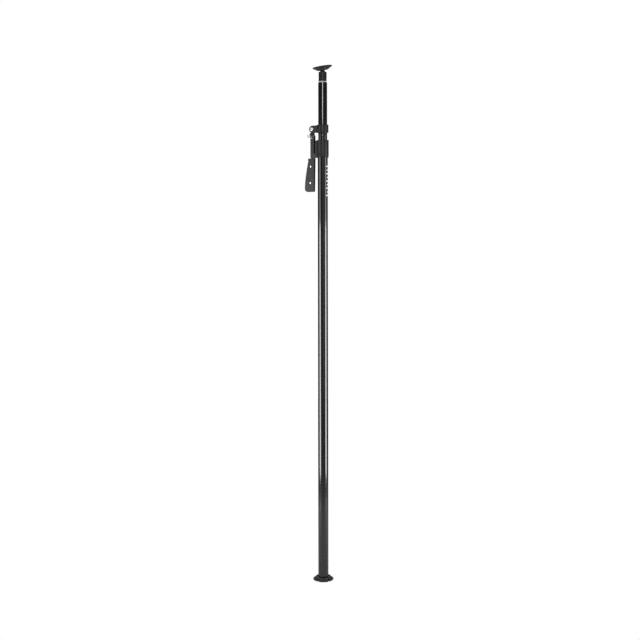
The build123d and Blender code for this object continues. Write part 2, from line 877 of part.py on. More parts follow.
with BuildPart() as guide_ring:
    guide_bore = neck_radius + guide_gap
    guide_radius = inner_bore - seat_gap
    revolve(
        outline(
            Plane.XZ,
            [
                (guide_bore, neck_bottom),
                (guide_radius, neck_bottom),
                (guide_radius, inner_top),
                (guide_radius - guide_step, inner_top),
                (guide_radius - guide_step, inner_top + guide_flange - guide_chamfer),
                (guide_bore + guide_step, inner_top + guide_flange),
                (guide_bore, inner_top + guide_flange),
            ],
        ),
        axis=Axis.Z,
    )

with BuildPart() as spring_seat:
    revolve(ring_section(seat_bore, inner_bore - seat_gap, seat_bottom, seat_top), axis=Axis.Z)
    with Locations((0, 0, seat_pin_z)):
        Cylinder(cross_pin_radius, 3 * inner_radius, rotation=(90, 0, 0), mode=Mode.SUBTRACT)

with BuildPart() as seat_pin:
    with Locations((0, 0, seat_pin_z)):
        Cylinder(cross_pin_radius, 2 * (inner_radius - pin_inset), rotation=(90, 0, 0))

# ---------------------------------------------------------------- plunger
with BuildPart() as plunger_neck:
    stop_radius = inner_bore - stop_play
    revolve(
        outline(
            Plane.XZ,
            [
                (0, spring_top - spring_guide_length),
                (spring_guide_radius - spring_guide_chamfer, spring_top - spring_guide_length),
                (spring_guide_radius, spring_top - spring_guide_length + spring_guide_chamfer),
                (spring_guide_radius, spring_top),
                (stop_radius, spring_top),
                (stop_radius, stop_top),
                (neck_radius, stop_top),
                (neck_radius, neck_top - neck_chamfer),
                (neck_radius - neck_chamfer, neck_top),
                (swivel_radius, neck_top),
                (swivel_radius, neck_top - swivel_depth),
                (0, neck_top - swivel_depth),
            ],
        ),
        axis=Axis.Z,
    )

thrust_spring = coil(
    (0, 0, seat_top), (0, 0, 1), spring_length, spring_turns, spring_radius, spring_wire
)

hub_bottom = neck_top + free_gap
hub_top = hub_bottom + hub_plate
with BuildPart() as swivel_screw:
    head_bottom = hub_top + free_gap
    revolve(
        outline(
            Plane.XZ,
            [
                (0, neck_top - swivel_depth),
                (swivel_radius, neck_top - swivel_depth),
                (swivel_radius, head_bottom),
                (swivel_head_radius, head_bottom),
                (swivel_head_radius, head_bottom + swivel_head_height - swivel_head_chamfer),
                (swivel_head_radius - swivel_head_chamfer, head_bottom + swivel_head_height),
                (0, head_bottom + swivel_head_height),
            ],
        ),
        axis=Axis.Z,
    )

# ---------------------------------------------------------------- swivelling and tilting head
tilt_turn = radians(tilt_axis_angle)
tilt_axis = Vector(cos(tilt_turn), sin(tilt_turn), 0)
tilt_side = Vector(sin(tilt_turn), -cos(tilt_turn), 0)
tilt_centre = Vector(0, 0, tilt_z)
lean = radians(tilt_at_rest)
head_up = Vector(0, 0, 1) * cos(lean) + tilt_side * sin(lean)
head_side = tilt_side * cos(lean) - Vector(0, 0, 1) * sin(lean)
ear_plane = Plane(tilt_centre, x_dir=-tilt_side, z_dir=tilt_axis)  # its own y axis points up
lug_plane = Plane(tilt_centre, x_dir=-head_side, z_dir=tilt_axis)
head_base = Plane(tilt_centre + head_up * head_rise, x_dir=head_side, z_dir=-head_up)

with BuildPart() as head_hub:
    revolve(ring_section(swivel_radius + running_gap, hub_radius, hub_bottom, hub_top), axis=Axis.Z)
    ear_foot = hub_bottom - tilt_z + overlap
    for side in (hub_ear_gap, -hub_ear_gap - hub_ear_thickness):
        with BuildSketch(ear_plane.offset(side)):
            Circle(hub_ear_radius)
            with Locations((0, ear_foot / 2)):
                Rectangle(2 * hub_ear_radius, -ear_foot)
            Circle(tilt_pin_radius, mode=Mode.SUBTRACT)
        extrude(amount=hub_ear_thickness)

with BuildPart() as tilt_pin:
    pin_half = hub_ear_gap + hub_ear_thickness
    extrude(disc(ear_plane.offset(-pin_half), 0, 0, tilt_pin_radius), amount=2 * pin_half)

with BuildPart() as head_disc:
    disc_face = head_base.offset(head_disc_low)
    extrude(disc(disc_face, 0, 0, head_disc_radius), amount=head_disc_thickness)
    lug_half = hub_ear_gap - free_gap
    lug_rise = head_rise - head_disc_low - head_disc_thickness / 2
    with BuildSketch(lug_plane.offset(-lug_half)):
        Circle(lug_radius)
        with Locations((0, lug_rise / 2)):
            Rectangle(2 * lug_radius, lug_rise)
        Circle(tilt_pin_radius + running_gap, mode=Mode.SUBTRACT)
    extrude(amount=2 * lug_half)

head_pad = cup(
    head_base,
    rim=head_rim_radius,
    height=head_height,
    lip=head_lip_radius,
    valley_height=head_valley_height,
    opening=head_opening,
    disc_radius=head_disc_radius + seat_gap,
    disc_low=head_disc_low,
    disc_high=head_disc_low + head_disc_thickness,
)

pieces = {
    "outer_tube": outer_tube.part,
    "foot_plug": foot_plug.part,
    "foot_pin": foot_pin.part,
    "foot_pad": foot_pad,
    "lower_bracket": lower_bracket.part,
    "bracket_screws": bracket_screws.part,
    "top_glide_bush": top_glide_bush.part,
    "pivot_sleeve": pivot_sleeve.part,
    "catch_ferrule": catch_ferrule.part,
    "lever_blade": lever_blade.part,
    "pivot_bush": pivot_bush.part,
    "grip_scale_front": grip_scale_front,
    "grip_scale_rear": grip_scale_rear,
    "grip_rivets": grip_rivets.part,
    "catch_button": catch_button.part,
    "catch_stem": catch_stem.part,
    "catch_plate": catch_plate.part,
    "catch_pin": catch_pin.part,
    "catch_clip": catch_clip.part,
    "catch_spring": catch_spring,
    "clamp_collar": clamp_collar.part,
    "clamp_liner": clamp_liner.part,
    "grip_shoes": grip_shoes.part,
    "follower_bolt": follower_bolt.part,
    "follower_nut": follower_nut.part,
    "follower_roller": follower_roller.part,
    "inner_tube": inner_tube.part,
    "tail_glide": tail_glide.part,
    "tail_pin": tail_pin.part,
    "guide_ring": guide_ring.part,
    "spring_seat": spring_seat.part,
    "seat_pin": seat_pin.part,
    "plunger_neck": plunger_neck.part,
    "thrust_spring": thrust_spring,
    "swivel_screw": swivel_screw.part,
    "head_hub": head_hub.part,
    "tilt_pin": tilt_pin.part,
    "head_disc": head_disc.part,
    "head_pad": head_pad,
}
for name, piece in pieces.items():
    save(piece, name)
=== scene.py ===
"""Looks of a telescopic floor-to-ceiling tension pole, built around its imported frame."""
import json
import logging
import math
from dataclasses import dataclass
from enum import Enum

import bmesh
import bpy
import numpy as np
from mathutils import Matrix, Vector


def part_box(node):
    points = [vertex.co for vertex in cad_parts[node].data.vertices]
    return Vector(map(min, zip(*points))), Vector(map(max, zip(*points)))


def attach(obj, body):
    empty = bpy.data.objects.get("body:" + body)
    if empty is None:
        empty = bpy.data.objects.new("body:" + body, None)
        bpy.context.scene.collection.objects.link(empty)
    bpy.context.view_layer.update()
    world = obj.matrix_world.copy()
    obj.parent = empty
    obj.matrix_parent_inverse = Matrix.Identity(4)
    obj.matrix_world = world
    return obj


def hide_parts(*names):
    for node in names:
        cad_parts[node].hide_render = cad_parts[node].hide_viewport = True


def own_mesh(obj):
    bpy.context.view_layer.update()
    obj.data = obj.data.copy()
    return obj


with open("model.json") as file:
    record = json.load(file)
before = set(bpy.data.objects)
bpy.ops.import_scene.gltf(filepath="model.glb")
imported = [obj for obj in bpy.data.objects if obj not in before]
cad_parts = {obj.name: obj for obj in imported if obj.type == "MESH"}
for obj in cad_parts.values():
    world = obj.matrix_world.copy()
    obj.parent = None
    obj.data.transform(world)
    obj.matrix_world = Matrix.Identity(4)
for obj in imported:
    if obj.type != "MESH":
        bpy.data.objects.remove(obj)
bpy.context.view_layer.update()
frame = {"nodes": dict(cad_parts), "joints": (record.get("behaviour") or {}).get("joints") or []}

log = logging.getLogger("tension_pole")

MM = 0.001
TURN = 2 * math.pi
SHARP = math.radians(38)  # edges sharper than this stay hard
HOLD = 0.3  # millimetres from a curve to the point that keeps its flat neighbour flat
JOIN = 0.5e-6  # metres within which points are one

Colour = tuple[float, float, float]
Values = np.ndarray


# ------------------------------------------------------------------ surfaces
@dataclass
class Shell:
    """One closed surface: points in millimetres, and faces that index them."""

    points: Values
    faces: list[tuple[int, ...]]


def joined(shells: list[Shell]) -> Shell:
    """Puts several closed surfaces into one.

    Args:
        shells: The surfaces, which keep their own points.

    Returns:
        A surface that holds them all.
    """
    starts = np.cumsum([0] + [len(s.points) for s in shells])
    faces = [
        tuple(int(i + start) for i in face)
        for shell, start in zip(shells, starts)
        for face in shell.faces
    ]
    return Shell(np.vstack([s.points for s in shells]), faces)


def skin(rows: Values, ring: bool, caps: bool = False) -> Shell:
    """Quads over a grid of points whose columns run round and close on themselves.

    Args:
        rows: Array of rows by columns by three.
        ring: Whether the last row joins the first.
        caps: Whether the first and last rows are closed by one flat face each.

    Returns:
        The surface.
    """
    height, width = rows.shape[:2]
    index = np.arange(height * width).reshape(height, width)
    upper = np.roll(index, -1, axis=0) if ring else index[1:]
    lower = index if ring else index[:-1]
    quads = np.stack(
        [lower, np.roll(lower, -1, axis=1), np.roll(upper, -1, axis=1), upper], axis=-1
    ).reshape(-1, 4)
    faces = [tuple(q) for q in quads.tolist()]
    if caps:
        faces += [tuple(index[0][::-1].tolist()), tuple(index[-1].tolist())]
    return Shell(rows.reshape(-1, 3), faces)


def rounded(corners: Values, radius: Values | float, steps: int = 4, closed: bool = True) -> Values:
    """Outline whose corners are eased.

    Each corner gives way to the quadratic curve that leaves one side and reaches the next at the
    given distance from the corner, at most 0.45 of the shorter side. One more point stands on
    each side just before the curve, so that the flat beside it shades as a flat.

    Args:
        corners: The outline's corners, n by 2.
        radius: The distance, one for all corners or one each.
        steps: Points on each curve, less one.
        closed: Whether the outline closes; an open one keeps its two ends.

    Returns:
        The points of the eased outline.
    """
    corners = np.asarray(corners, float)
    before = np.roll(corners, 1, axis=0) - corners
    after = np.roll(corners, -1, axis=0) - corners
    long_before = np.linalg.norm(before, axis=1)
    long_after = np.linalg.norm(after, axis=1)
    shorter = np.minimum(long_before, long_after)
    reach = np.minimum(np.broadcast_to(radius, shorter.shape), 0.45 * shorter)
    if not closed:
        reach = reach * np.r_[0, np.ones(len(corners) - 2), 0]
    leave = corners + before / long_before[:, None] * reach[:, None]
    arrive = corners + after / long_after[:, None] * reach[:, None]
    s = np.linspace(0, 1, steps + 1)[None, :, None]
    curve = (1 - s) ** 2 * leave[:, None] + s**2 * arrive[:, None]
    curve = curve + 2 * s * (1 - s) * corners[:, None]
    bent = (reach > 0)[:, None]
    first = leave + before * np.minimum(HOLD / long_before, 0.04)[:, None] * bent
    last = arrive + after * np.minimum(HOLD / long_after, 0.04)[:, None] * bent
    points = np.concatenate([first[:, None], curve, last[:, None]], axis=1).reshape(-1, 2)
    apart = np.linalg.norm(points - np.roll(points, 1, axis=0), axis=1) > 1e-6
    return points[apart]


def basis(direction: Values, side: Values | None = None) -> Values:
    """Square axes whose third row is the direction.

    Args:
        direction: The axis that becomes local +Z.
        side: A vector that local +X leans to.

    Returns:
        Three unit rows: local X, Y and Z.
    """
    z = np.asarray(direction, float) / np.linalg.norm(direction)
    if side is None:
        side = (1, 0, 0) if abs(z[0]) < 0.9 else (0, 1, 0)
    guess = np.asarray(side, float)
    x = guess - guess.dot(z) * z
    x /= np.linalg.norm(x)
    return np.stack([x, np.cross(z, x), z])


def lathe(
    profile: Values,
    segments: int = 96,
    origin: Values = (0, 0, 0),
    axes: Values = np.eye(3),
    hexagon: Values | None = None,
) -> Shell:
    """Closed profile turned about an axis.

    A point at radius r and height h goes to (r cos a, r sin a, h) for each angle a. A row with a
    hexagon share takes that share of its radius from a hexagon of the same corner radius.

    Args:
        profile: Radius and height of each point of the closed section, n by 2.
        segments: Steps round the axis.
        origin: Place of the profile's zero.
        axes: Local axes as rows, as basis() gives them.
        hexagon: Share of hexagon for each profile point.

    Returns:
        The turned surface.
    """
    angle = np.arange(segments) * TURN / segments
    radius = np.repeat(profile[:, :1], segments, axis=1)
    if hexagon is not None:
        sector = TURN / 6
        flat = math.cos(sector / 2) / np.cos(np.mod(angle, sector) - sector / 2)
        radius = radius * (1 - hexagon[:, None] * (1 - flat[None, :]))
    height = np.repeat(profile[:, 1:], segments, axis=1)
    local = np.stack([radius * np.cos(angle), radius * np.sin(angle), height], axis=-1)
    return skin(local @ axes + np.asarray(origin, float), ring=True)


def plate(outline: Values, near: float, far: float, ease: float | tuple, steps: int = 4) -> Shell:
    """Flat piece that stands across Y, with rounded edges.

    The outline is carried along Y. Over the last stretch at each face it shrinks along its own
    normals by the ease times one minus the sine of an angle that runs through a quarter turn.

    Args:
        outline: X and Z of the closed edge, running anticlockwise, n by 2.
        near: Y of the first face.
        far: Y of the second face.
        ease: Radius of the rounded edges, or one for each face.
        steps: Rows over each rounding.

    Returns:
        The piece's surface.
    """
    along = np.roll(outline, -1, axis=0) - np.roll(outline, 1, axis=0)
    along /= np.linalg.norm(along, axis=1)[:, None]
    inward = np.stack([-along[:, 1], along[:, 0]], axis=1)
    quarter = np.linspace(0, math.pi / 2, steps + 1)
    first, second = np.broadcast_to(ease, 2)
    shrink = np.r_[1 - np.sin(quarter), 0]
    depth = np.r_[0, 1 - np.cos(quarter)]
    hold = HOLD / 3
    shrinks = np.r_[first + 2 * hold, first * shrink, (second * shrink)[::-1], second + 2 * hold]
    lower = np.r_[first * depth, first + hold]
    upper = np.r_[second * depth, second + hold]
    places = np.r_[near + lower, far - upper[::-1]]
    flat = outline[None] + inward[None] * shrinks[:, None, None]
    across = np.broadcast_to(places[:, None], flat.shape[:2])
    return skin(np.stack([flat[..., 0], across, flat[..., 1]], axis=-1), ring=False, caps=True)


def coil(radius: float, wire: float, low: float, high: float, turns: int) -> Shell:
    """Spring of round wire, wound about local Z.

    The wire's middle runs round at the radius and rises evenly. Each row is a circle of the
    wire's radius, square to the helix, on the outward direction and the one across it.

    Args:
        radius: Radius of the helix.
        wire: Radius of the wire.
        low: Height of the lower end.
        high: Height of the upper end.
        turns: Number of turns.

    Returns:
        The spring's surface.
    """
    share = np.linspace(0, 1, turns * 28 + 1)
    angle = share * turns * TURN
    rise = high - low - 2 * wire
    ones = np.ones_like(angle)
    outward = np.stack([np.cos(angle), np.sin(angle), 0 * ones], axis=1)
    middle = outward * radius + np.stack([0 * ones, 0 * ones, low + wire + share * rise], axis=1)
    climb = ones * rise / (turns * TURN)
    along = np.stack([-np.sin(angle) * radius, np.cos(angle) * radius, climb], axis=1)
    across = np.cross(along / np.linalg.norm(along, axis=1)[:, None], outward)
    turn = (np.arange(12) * TURN / 12)[None, :, None]
    circle = np.cos(turn) * outward[:, None] + np.sin(turn) * across[:, None]
    return skin(middle[:, None] + wire * circle, ring=False, caps=True)


def ring_profile(inner: float, outer: float, low: float, high: float, ease: float) -> Values:
    """Section of a ring with eased corners, from its radii, its heights and the ease."""
    corners = np.array([(inner, low), (outer, low), (outer, high), (inner, high)])
    return rounded(corners, ease)


def disc_profile(steps: list[tuple[float, float, float]]) -> Values:
    """Section of a solid of revolution that starts and ends on its axis.

    Args:
        steps: Radius, height and ease of each corner, from one pole to the other.

    Returns:
        The points of the section, poles included.
    """
    table = np.array(steps, float)
    return rounded(table[:, :2], table[:, 2], closed=False)


def make_piece(
    name: str,
    shell: Shell,
    finish: "Finish",
    body: str,
    nodes: tuple[str, ...] = (),
) -> bpy.types.Object:
    """Turns a surface into a finished piece of the model.

    Args:
        name: The piece's name.
        shell: Its surface, in millimetres.
        finish: Its finish, whose slot names the piece's material.
        body: The body that it rides on.
        nodes: The CAD nodes that it stands for.

    Returns:
        The piece's object.
    """
    mesh = bpy.data.meshes.new(name)
    mesh.from_pydata((shell.points * MM).tolist(), [], shell.faces)
    work = bmesh.new()
    work.from_mesh(mesh)
    bmesh.ops.remove_doubles(work, verts=work.verts, dist=JOIN)
    bmesh.ops.dissolve_degenerate(work, edges=work.edges, dist=JOIN)
    bmesh.ops.recalc_face_normals(work, faces=work.faces)
    work.to_mesh(mesh)
    work.free()
    mesh.shade_smooth()
    mesh.set_sharp_from_angle(angle=SHARP)
    piece = bpy.data.objects.new(name, mesh)
    bpy.context.scene.collection.objects.link(piece)
    mesh.materials.append(finish.material())
    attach(piece, body)
    if nodes:
        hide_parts(*nodes)
    log.info("%s: %d faces on %s", name, len(mesh.polygons), body)
    return piece


def dress(node: str, finish: "Finish") -> None:
    """Gives a CAD node that stays in view its finish."""
    slots = frame["nodes"][node].data.materials
    slots.clear()
    slots.append(finish.material())
    log.info("%s: kept from the frame", node)


# ------------------------------------------------------------------ finishes
class Nodes:
    """Adds and joins the nodes of one tree."""

    def __init__(self, tree: bpy.types.NodeTree) -> None:
        """Starts with the tree."""
        self.tree = tree

    def add(self, kind: str, **settings: object) -> bpy.types.Node:
        """New node of the kind, with its properties set."""
        node = self.tree.nodes.new(kind)
        for key, value in settings.items():
            setattr(node, key, value)
        return node

    def feed(self, socket: bpy.types.NodeSocket, value: object) -> None:
        """Links a socket to the input, or sets the input to a plain value."""
        if isinstance(value, bpy.types.NodeSocket):
            self.tree.links.new(value, socket)
        else:
            socket.default_value = value

    def maths(self, operation: str, *values: object, clamp: bool = False) -> bpy.types.NodeSocket:
        """Result of a Math node on sockets or numbers."""
        node = self.add("ShaderNodeMath", operation=operation, use_clamp=clamp)
        for socket, value in zip(node.inputs, values):
            self.feed(socket, value)
        return node.outputs[0]

    def spread(
        self, value: object, low: float, high: float, to_low: float, to_high: float
    ) -> bpy.types.NodeSocket:
        """Value mapped from one range to another, and held inside it."""
        node = self.add("ShaderNodeMapRange")
        for socket, part in zip(node.inputs, (value, low, high, to_low, to_high)):
            self.feed(socket, part)
        return node.outputs[0]

    def blend(self, share: object, first: object, second: object) -> bpy.types.NodeSocket:
        """Colour mixed from two by a share."""
        node = self.add("ShaderNodeMix", data_type="RGBA")
        self.feed(node.inputs[0], share)
        self.feed(node.inputs[6], first)
        self.feed(node.inputs[7], second)
        return node.outputs[2]

    def group(self, tree: bpy.types.NodeTree, **values: object) -> bpy.types.Node:
        """Placed copy of a shared group, with its inputs fed by name."""
        node = self.add("ShaderNodeGroup", node_tree=tree)
        for key, value in values.items():
            self.feed(node.inputs[key], value)
        return node


def shared_group(name: str, inputs: dict[str, tuple[str, float]], outputs: list[str]) -> tuple:
    """Empty shader group with named sockets.

    Args:
        name: The group's name.
        inputs: Socket kind and default of each input, by name.
        outputs: Names of the value outputs.

    Returns:
        The tree, its Nodes, its input node and its output node.
    """
    tree = bpy.data.node_groups.new(name, "ShaderNodeTree")
    for key, (kind, value) in inputs.items():
        socket = tree.interface.new_socket(key, in_out="INPUT", socket_type=kind)
        if kind == "NodeSocketFloat":
            socket.default_value = value
    for key in outputs:
        tree.interface.new_socket(key, in_out="OUTPUT", socket_type="NodeSocketFloat")
    nodes = Nodes(tree)
    return tree, nodes, nodes.add("NodeGroupInput"), nodes.add("NodeGroupOutput")


def grain_group() -> bpy.types.NodeTree:
    """Two octaves of unevenness: a fine one for the surface and a broad one for its tone."""
    tree, nodes, start, end = shared_group(
        "surface_grain",
        {
            "Vector": ("NodeSocketVector", 0.0),
            "Fine": ("NodeSocketFloat", 900.0),
            "Broad": ("NodeSocketFloat", 30.0),
        },
        ["Fine", "Broad"],
    )
    for key in ("Fine", "Broad"):
        noise = nodes.add("ShaderNodeTexNoise")
        nodes.feed(noise.inputs["Vector"], start.outputs["Vector"])
        nodes.feed(noise.inputs["Scale"], start.outputs[key])
        noise.inputs["Detail"].default_value = 3.0
        nodes.feed(end.inputs[key], noise.outputs[0])
    return tree


def pebble_group() -> bpy.types.NodeTree:
    """Rounded pebbles, as on stippled plastic: high in each cell's middle, low at its border."""
    tree, nodes, start, end = shared_group(
        "moulded_pebble",
        {"Vector": ("NodeSocketVector", 0.0), "Scale": ("NodeSocketFloat", 900.0)},
        ["Height"],
    )
    cells = nodes.add("ShaderNodeTexVoronoi", feature="F1")
    nodes.feed(cells.inputs["Vector"], start.outputs["Vector"])
    nodes.feed(cells.inputs["Scale"], start.outputs["Scale"])
    nodes.feed(end.inputs["Height"], nodes.spread(cells.outputs["Distance"], 0.0, 0.75, 1.0, 0.0))
    return tree


def dust_group() -> bpy.types.NodeTree:
    """Thin dust that lies on faces that look up, broken by the broad grain."""
    tree, nodes, start, end = shared_group(
        "settled_dust",
        {"Grain": ("NodeSocketFloat", 0.5), "Amount": ("NodeSocketFloat", 0.1)},
        ["Mask"],
    )
    geometry = nodes.add("ShaderNodeNewGeometry")
    split = nodes.add("ShaderNodeSeparateXYZ")
    nodes.feed(split.inputs[0], geometry.outputs["Normal"])
    up = nodes.spread(split.outputs["Z"], 0.1, 1.0, 0.0, 1.0)
    patchy = nodes.spread(start.outputs["Grain"], 0.35, 0.65, 0.4, 1.0)
    nodes.feed(
        end.inputs["Mask"],
        nodes.maths("MULTIPLY", nodes.maths("MULTIPLY", up, patchy), start.outputs["Amount"]),
    )
    return tree


class Texture(Enum):
    """Relief that a finish carries, as the stretch of its grain along X, Y and Z."""

    CAST = (1.0, 1.0, 1.0)
    DRAWN = (1.0, 1.0, 0.004)
    PEBBLE = (1.0, 1.0, 1.001)
    TURNED = (1.0, 0.05, 1.0)


@dataclass(frozen=True)
class Finish:
    """One kind of surface: its slot, tone, gloss and relief. Lengths are in millimetres."""

    slot: str
    colour: Colour
    roughness: float
    texture: Texture
    metallic: float = 0.0
    tone: float = 0.25
    gloss_play: float = 0.08
    grain: float = 1.2
    relief: float = 0.02
    dust: float = 0.03
    coat: float = 0.0
    specular: float = 0.5
    marks: bool = False

    def material(self) -> bpy.types.Material:
        """The finish's material, made on first use."""
        made = bpy.data.materials.get(f"{self.slot}_finish")
        return made if made else self._make()

    def _make(self) -> bpy.types.Material:
        """Builds the material from the shared groups."""
        material = bpy.data.materials.new(f"{self.slot}_finish")
        material.use_nodes = True
        material.node_tree.nodes.clear()
        nodes = Nodes(material.node_tree)
        shader = nodes.add("ShaderNodeBsdfPrincipled")
        output = nodes.add("ShaderNodeOutputMaterial")
        nodes.feed(output.inputs["Surface"], shader.outputs[0])
        place = nodes.add("ShaderNodeTexCoord")
        stretch = nodes.add("ShaderNodeMapping")
        nodes.feed(stretch.inputs["Vector"], place.outputs["Object"])
        stretch.inputs["Scale"].default_value = self.texture.value
        fine_scale = 1 / (self.grain * MM)
        grain = nodes.group(
            shared("grain"), Vector=stretch.outputs[0], Fine=fine_scale, Broad=fine_scale / 18
        )
        height = grain.outputs["Fine"]
        if self.texture is Texture.PEBBLE:
            pebble = nodes.group(shared("pebble"), Vector=stretch.outputs[0], Scale=fine_scale)
            height = nodes.maths("ADD", pebble.outputs[0], nodes.maths("MULTIPLY", height, 0.3))
        dark = tuple(c * (1 - self.tone) for c in self.colour) + (1.0,)
        light = tuple(min(1.0, c * (1 + self.tone)) for c in self.colour) + (1.0,)
        tone = nodes.spread(grain.outputs["Broad"], 0.3, 0.7, 0.0, 1.0)
        colour = nodes.blend(tone, dark, light)
        glossy, matte = self.roughness - self.gloss_play, self.roughness + self.gloss_play
        rough = nodes.spread(grain.outputs["Broad"], 0.3, 0.7, glossy, matte)
        dust = nodes.group(shared("dust"), Grain=grain.outputs["Broad"], Amount=self.dust)
        colour = nodes.blend(dust.outputs[0], colour, DUST_TONE)
        if self.marks:
            mask = self._graduation(nodes, place.outputs["Object"])
            colour = nodes.blend(mask, colour, MARK_TONE)
            rough = nodes.maths("ADD", rough, nodes.maths("MULTIPLY", mask, 0.3))
        nodes.feed(shader.inputs["Base Color"], colour)
        nodes.feed(shader.inputs["Roughness"], rough)
        bump = nodes.add("ShaderNodeBump")
        bump.inputs["Strength"].default_value = 1.0
        bump.inputs["Distance"].default_value = self.relief * MM
        nodes.feed(bump.inputs["Height"], height)
        nodes.feed(shader.inputs["Normal"], bump.outputs[0])
        shader.inputs["Metallic"].default_value = self.metallic
        shader.inputs["Specular IOR Level"].default_value = self.specular
        shader.inputs["Coat Weight"].default_value = self.coat
        shader.inputs["Coat Roughness"].default_value = 0.10
        return material

    def _graduation(self, nodes: Nodes, place: bpy.types.NodeSocket) -> bpy.types.NodeSocket:
        """White setting marks on the side of the tube that faces away from the lever.

        A mark stands where the height, counted from the lowest mark, is inside the lower part of
        its pitch, and where the distance round the tube is inside the mark's width. Every second
        mark is short.
        """
        marks = GRADUATION
        split = nodes.add("ShaderNodeSeparateXYZ")
        nodes.feed(split.inputs[0], place)
        height = nodes.maths("SUBTRACT", split.outputs["Z"], marks.low * MM)
        pitch = marks.pitch * MM
        inside = nodes.maths(
            "MULTIPLY",
            nodes.maths("GREATER_THAN", height, 0.0),
            nodes.maths("LESS_THAN", height, marks.count * pitch),
        )
        step = nodes.maths("LESS_THAN", nodes.maths("MODULO", height, pitch), marks.height * MM)
        angle = nodes.maths("ARCTAN2", split.outputs["Y"], split.outputs["X"])
        off = nodes.maths("ABSOLUTE", nodes.maths("SUBTRACT", angle, math.radians(marks.facing)))
        odd = nodes.maths("GREATER_THAN", nodes.maths("MODULO", height, 2 * pitch), pitch)
        cut = nodes.maths("MULTIPLY", odd, math.radians(marks.short_by))
        half = nodes.maths("SUBTRACT", math.radians(marks.half_angle), cut)
        wide = nodes.maths("LESS_THAN", off, half)
        return nodes.maths("MULTIPLY", nodes.maths("MULTIPLY", inside, step), wide)


@dataclass(frozen=True)
class Graduation:
    """Setting marks on the outer tube: millimetres up the pole and degrees round it."""

    low: float = 1692.0
    pitch: float = 16.0
    height: float = 6.0
    count: int = 9
    facing: float = 8.0
    half_angle: float = 22.0
    short_by: float = 9.0


GRADUATION = Graduation()
DUST_TONE = (0.32, 0.31, 0.29, 1.0)
MARK_TONE = (0.86, 0.86, 0.84, 1.0)
_groups: dict[str, bpy.types.NodeTree] = {}


def shared(name: str) -> bpy.types.NodeTree:
    """A shared group by name, made on first use."""
    makers = {"grain": grain_group, "pebble": pebble_group, "dust": dust_group}
    if name not in _groups:
        _groups[name] = makers[name]()
    return _groups[name]


ANODISED = Finish(
    "black_anodised", (0.009, 0.009, 0.010), 0.12, Texture.DRAWN,
    gloss_play=0.02, grain=0.5, relief=0.003, coat=0.6, dust=0.0, specular=0.6, marks=True,
)
CASTING = Finish(
    "die_cast_black", (0.013, 0.013, 0.0135), 0.40, Texture.CAST,
    grain=0.9, relief=0.02, dust=0.01,
)
RUBBER = Finish(
    "rubber", (0.011, 0.011, 0.011), 0.50, Texture.CAST, grain=0.5, relief=0.02, dust=0.03
)
NYLON = Finish("black_nylon", (0.02, 0.02, 0.021), 0.5, Texture.CAST, grain=0.7, relief=0.015)
PALE_NYLON = Finish(
    "light_nylon", (0.60, 0.60, 0.60), 0.4, Texture.CAST, tone=0.06, grain=0.8, relief=0.01
)
NECK = Finish(
    "neck_plastic", (0.012, 0.012, 0.0125), 0.42, Texture.DRAWN, grain=0.5, relief=0.006
)
GRIP = Finish(
    "grip_plastic", (0.014, 0.014, 0.014), 0.50, Texture.PEBBLE,
    tone=0.15, grain=0.7, relief=0.04, dust=0.02,
)
BLACK_STEEL = Finish(
    "blackened_steel", (0.03, 0.03, 0.03), 0.38, Texture.CAST, metallic=0.6, grain=0.6, relief=0.01
)
STEEL = Finish(
    "steel", (0.50, 0.50, 0.51), 0.3, Texture.TURNED, metallic=1.0, tone=0.1, grain=0.4, relief=0.006
)
SPRING = Finish(
    "spring_steel", (0.35, 0.35, 0.37), 0.35, Texture.TURNED, metallic=1.0, grain=0.4, relief=0.01
)
NICKEL = Finish(
    "nickel", (0.80, 0.78, 0.74), 0.42, Texture.TURNED,
    metallic=1.0, tone=0.06, grain=0.5, relief=0.004, dust=0.0,
)
BOLT = Finish(
    "bright_bolt", (0.86, 0.86, 0.86), 0.36, Texture.TURNED,
    metallic=1.0, tone=0.05, grain=0.5, relief=0.004, dust=0.0,
)
RIVET = Finish(
    "bright_rivet", (0.88, 0.88, 0.88), 0.28, Texture.TURNED,
    metallic=1.0, tone=0.05, grain=0.5, relief=0.003, dust=0.0,
)
BRONZE = Finish(
    "bronze", (0.50, 0.36, 0.17), 0.4, Texture.CAST, metallic=1.0, grain=0.4, relief=0.01
)


# ------------------------------------------------------------------ places taken from the frame
def joint_place(name: str) -> Values:
    """A joint's place at rest, in millimetres."""
    return np.array(next(j["pos_m"] for j in frame["joints"] if j["name"] == name)) / MM


def joint_axis(name: str) -> Values:
    """A joint's axis."""
    return np.array(next(j["axis"] for j in frame["joints"] if j["name"] == name), float)


def span(node: str) -> tuple[Values, Values]:
    """Lowest and highest corners of a CAD node, in millimetres."""
    low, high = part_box(node)
    return np.array(low) / MM, np.array(high) / MM


# ------------------------------------------------------------------ sub-assemblies
@dataclass
class Tube:
    """Drawn tube with softly broken ends."""

    node: str
    body: str
    wall: float = 1.3
    ease: float = 0.35
    segments: int = 160

    def build(self) -> None:
        """Turns the tube's section, as long and as wide as its CAD node."""
        low, high = span(self.node)
        radius = high[0]
        profile = ring_profile(radius - self.wall, radius, low[2], high[2], self.ease)
        shell = lathe(profile, self.segments)
        make_piece(f"{self.node}_skin", shell, ANODISED, self.body, (self.node,))


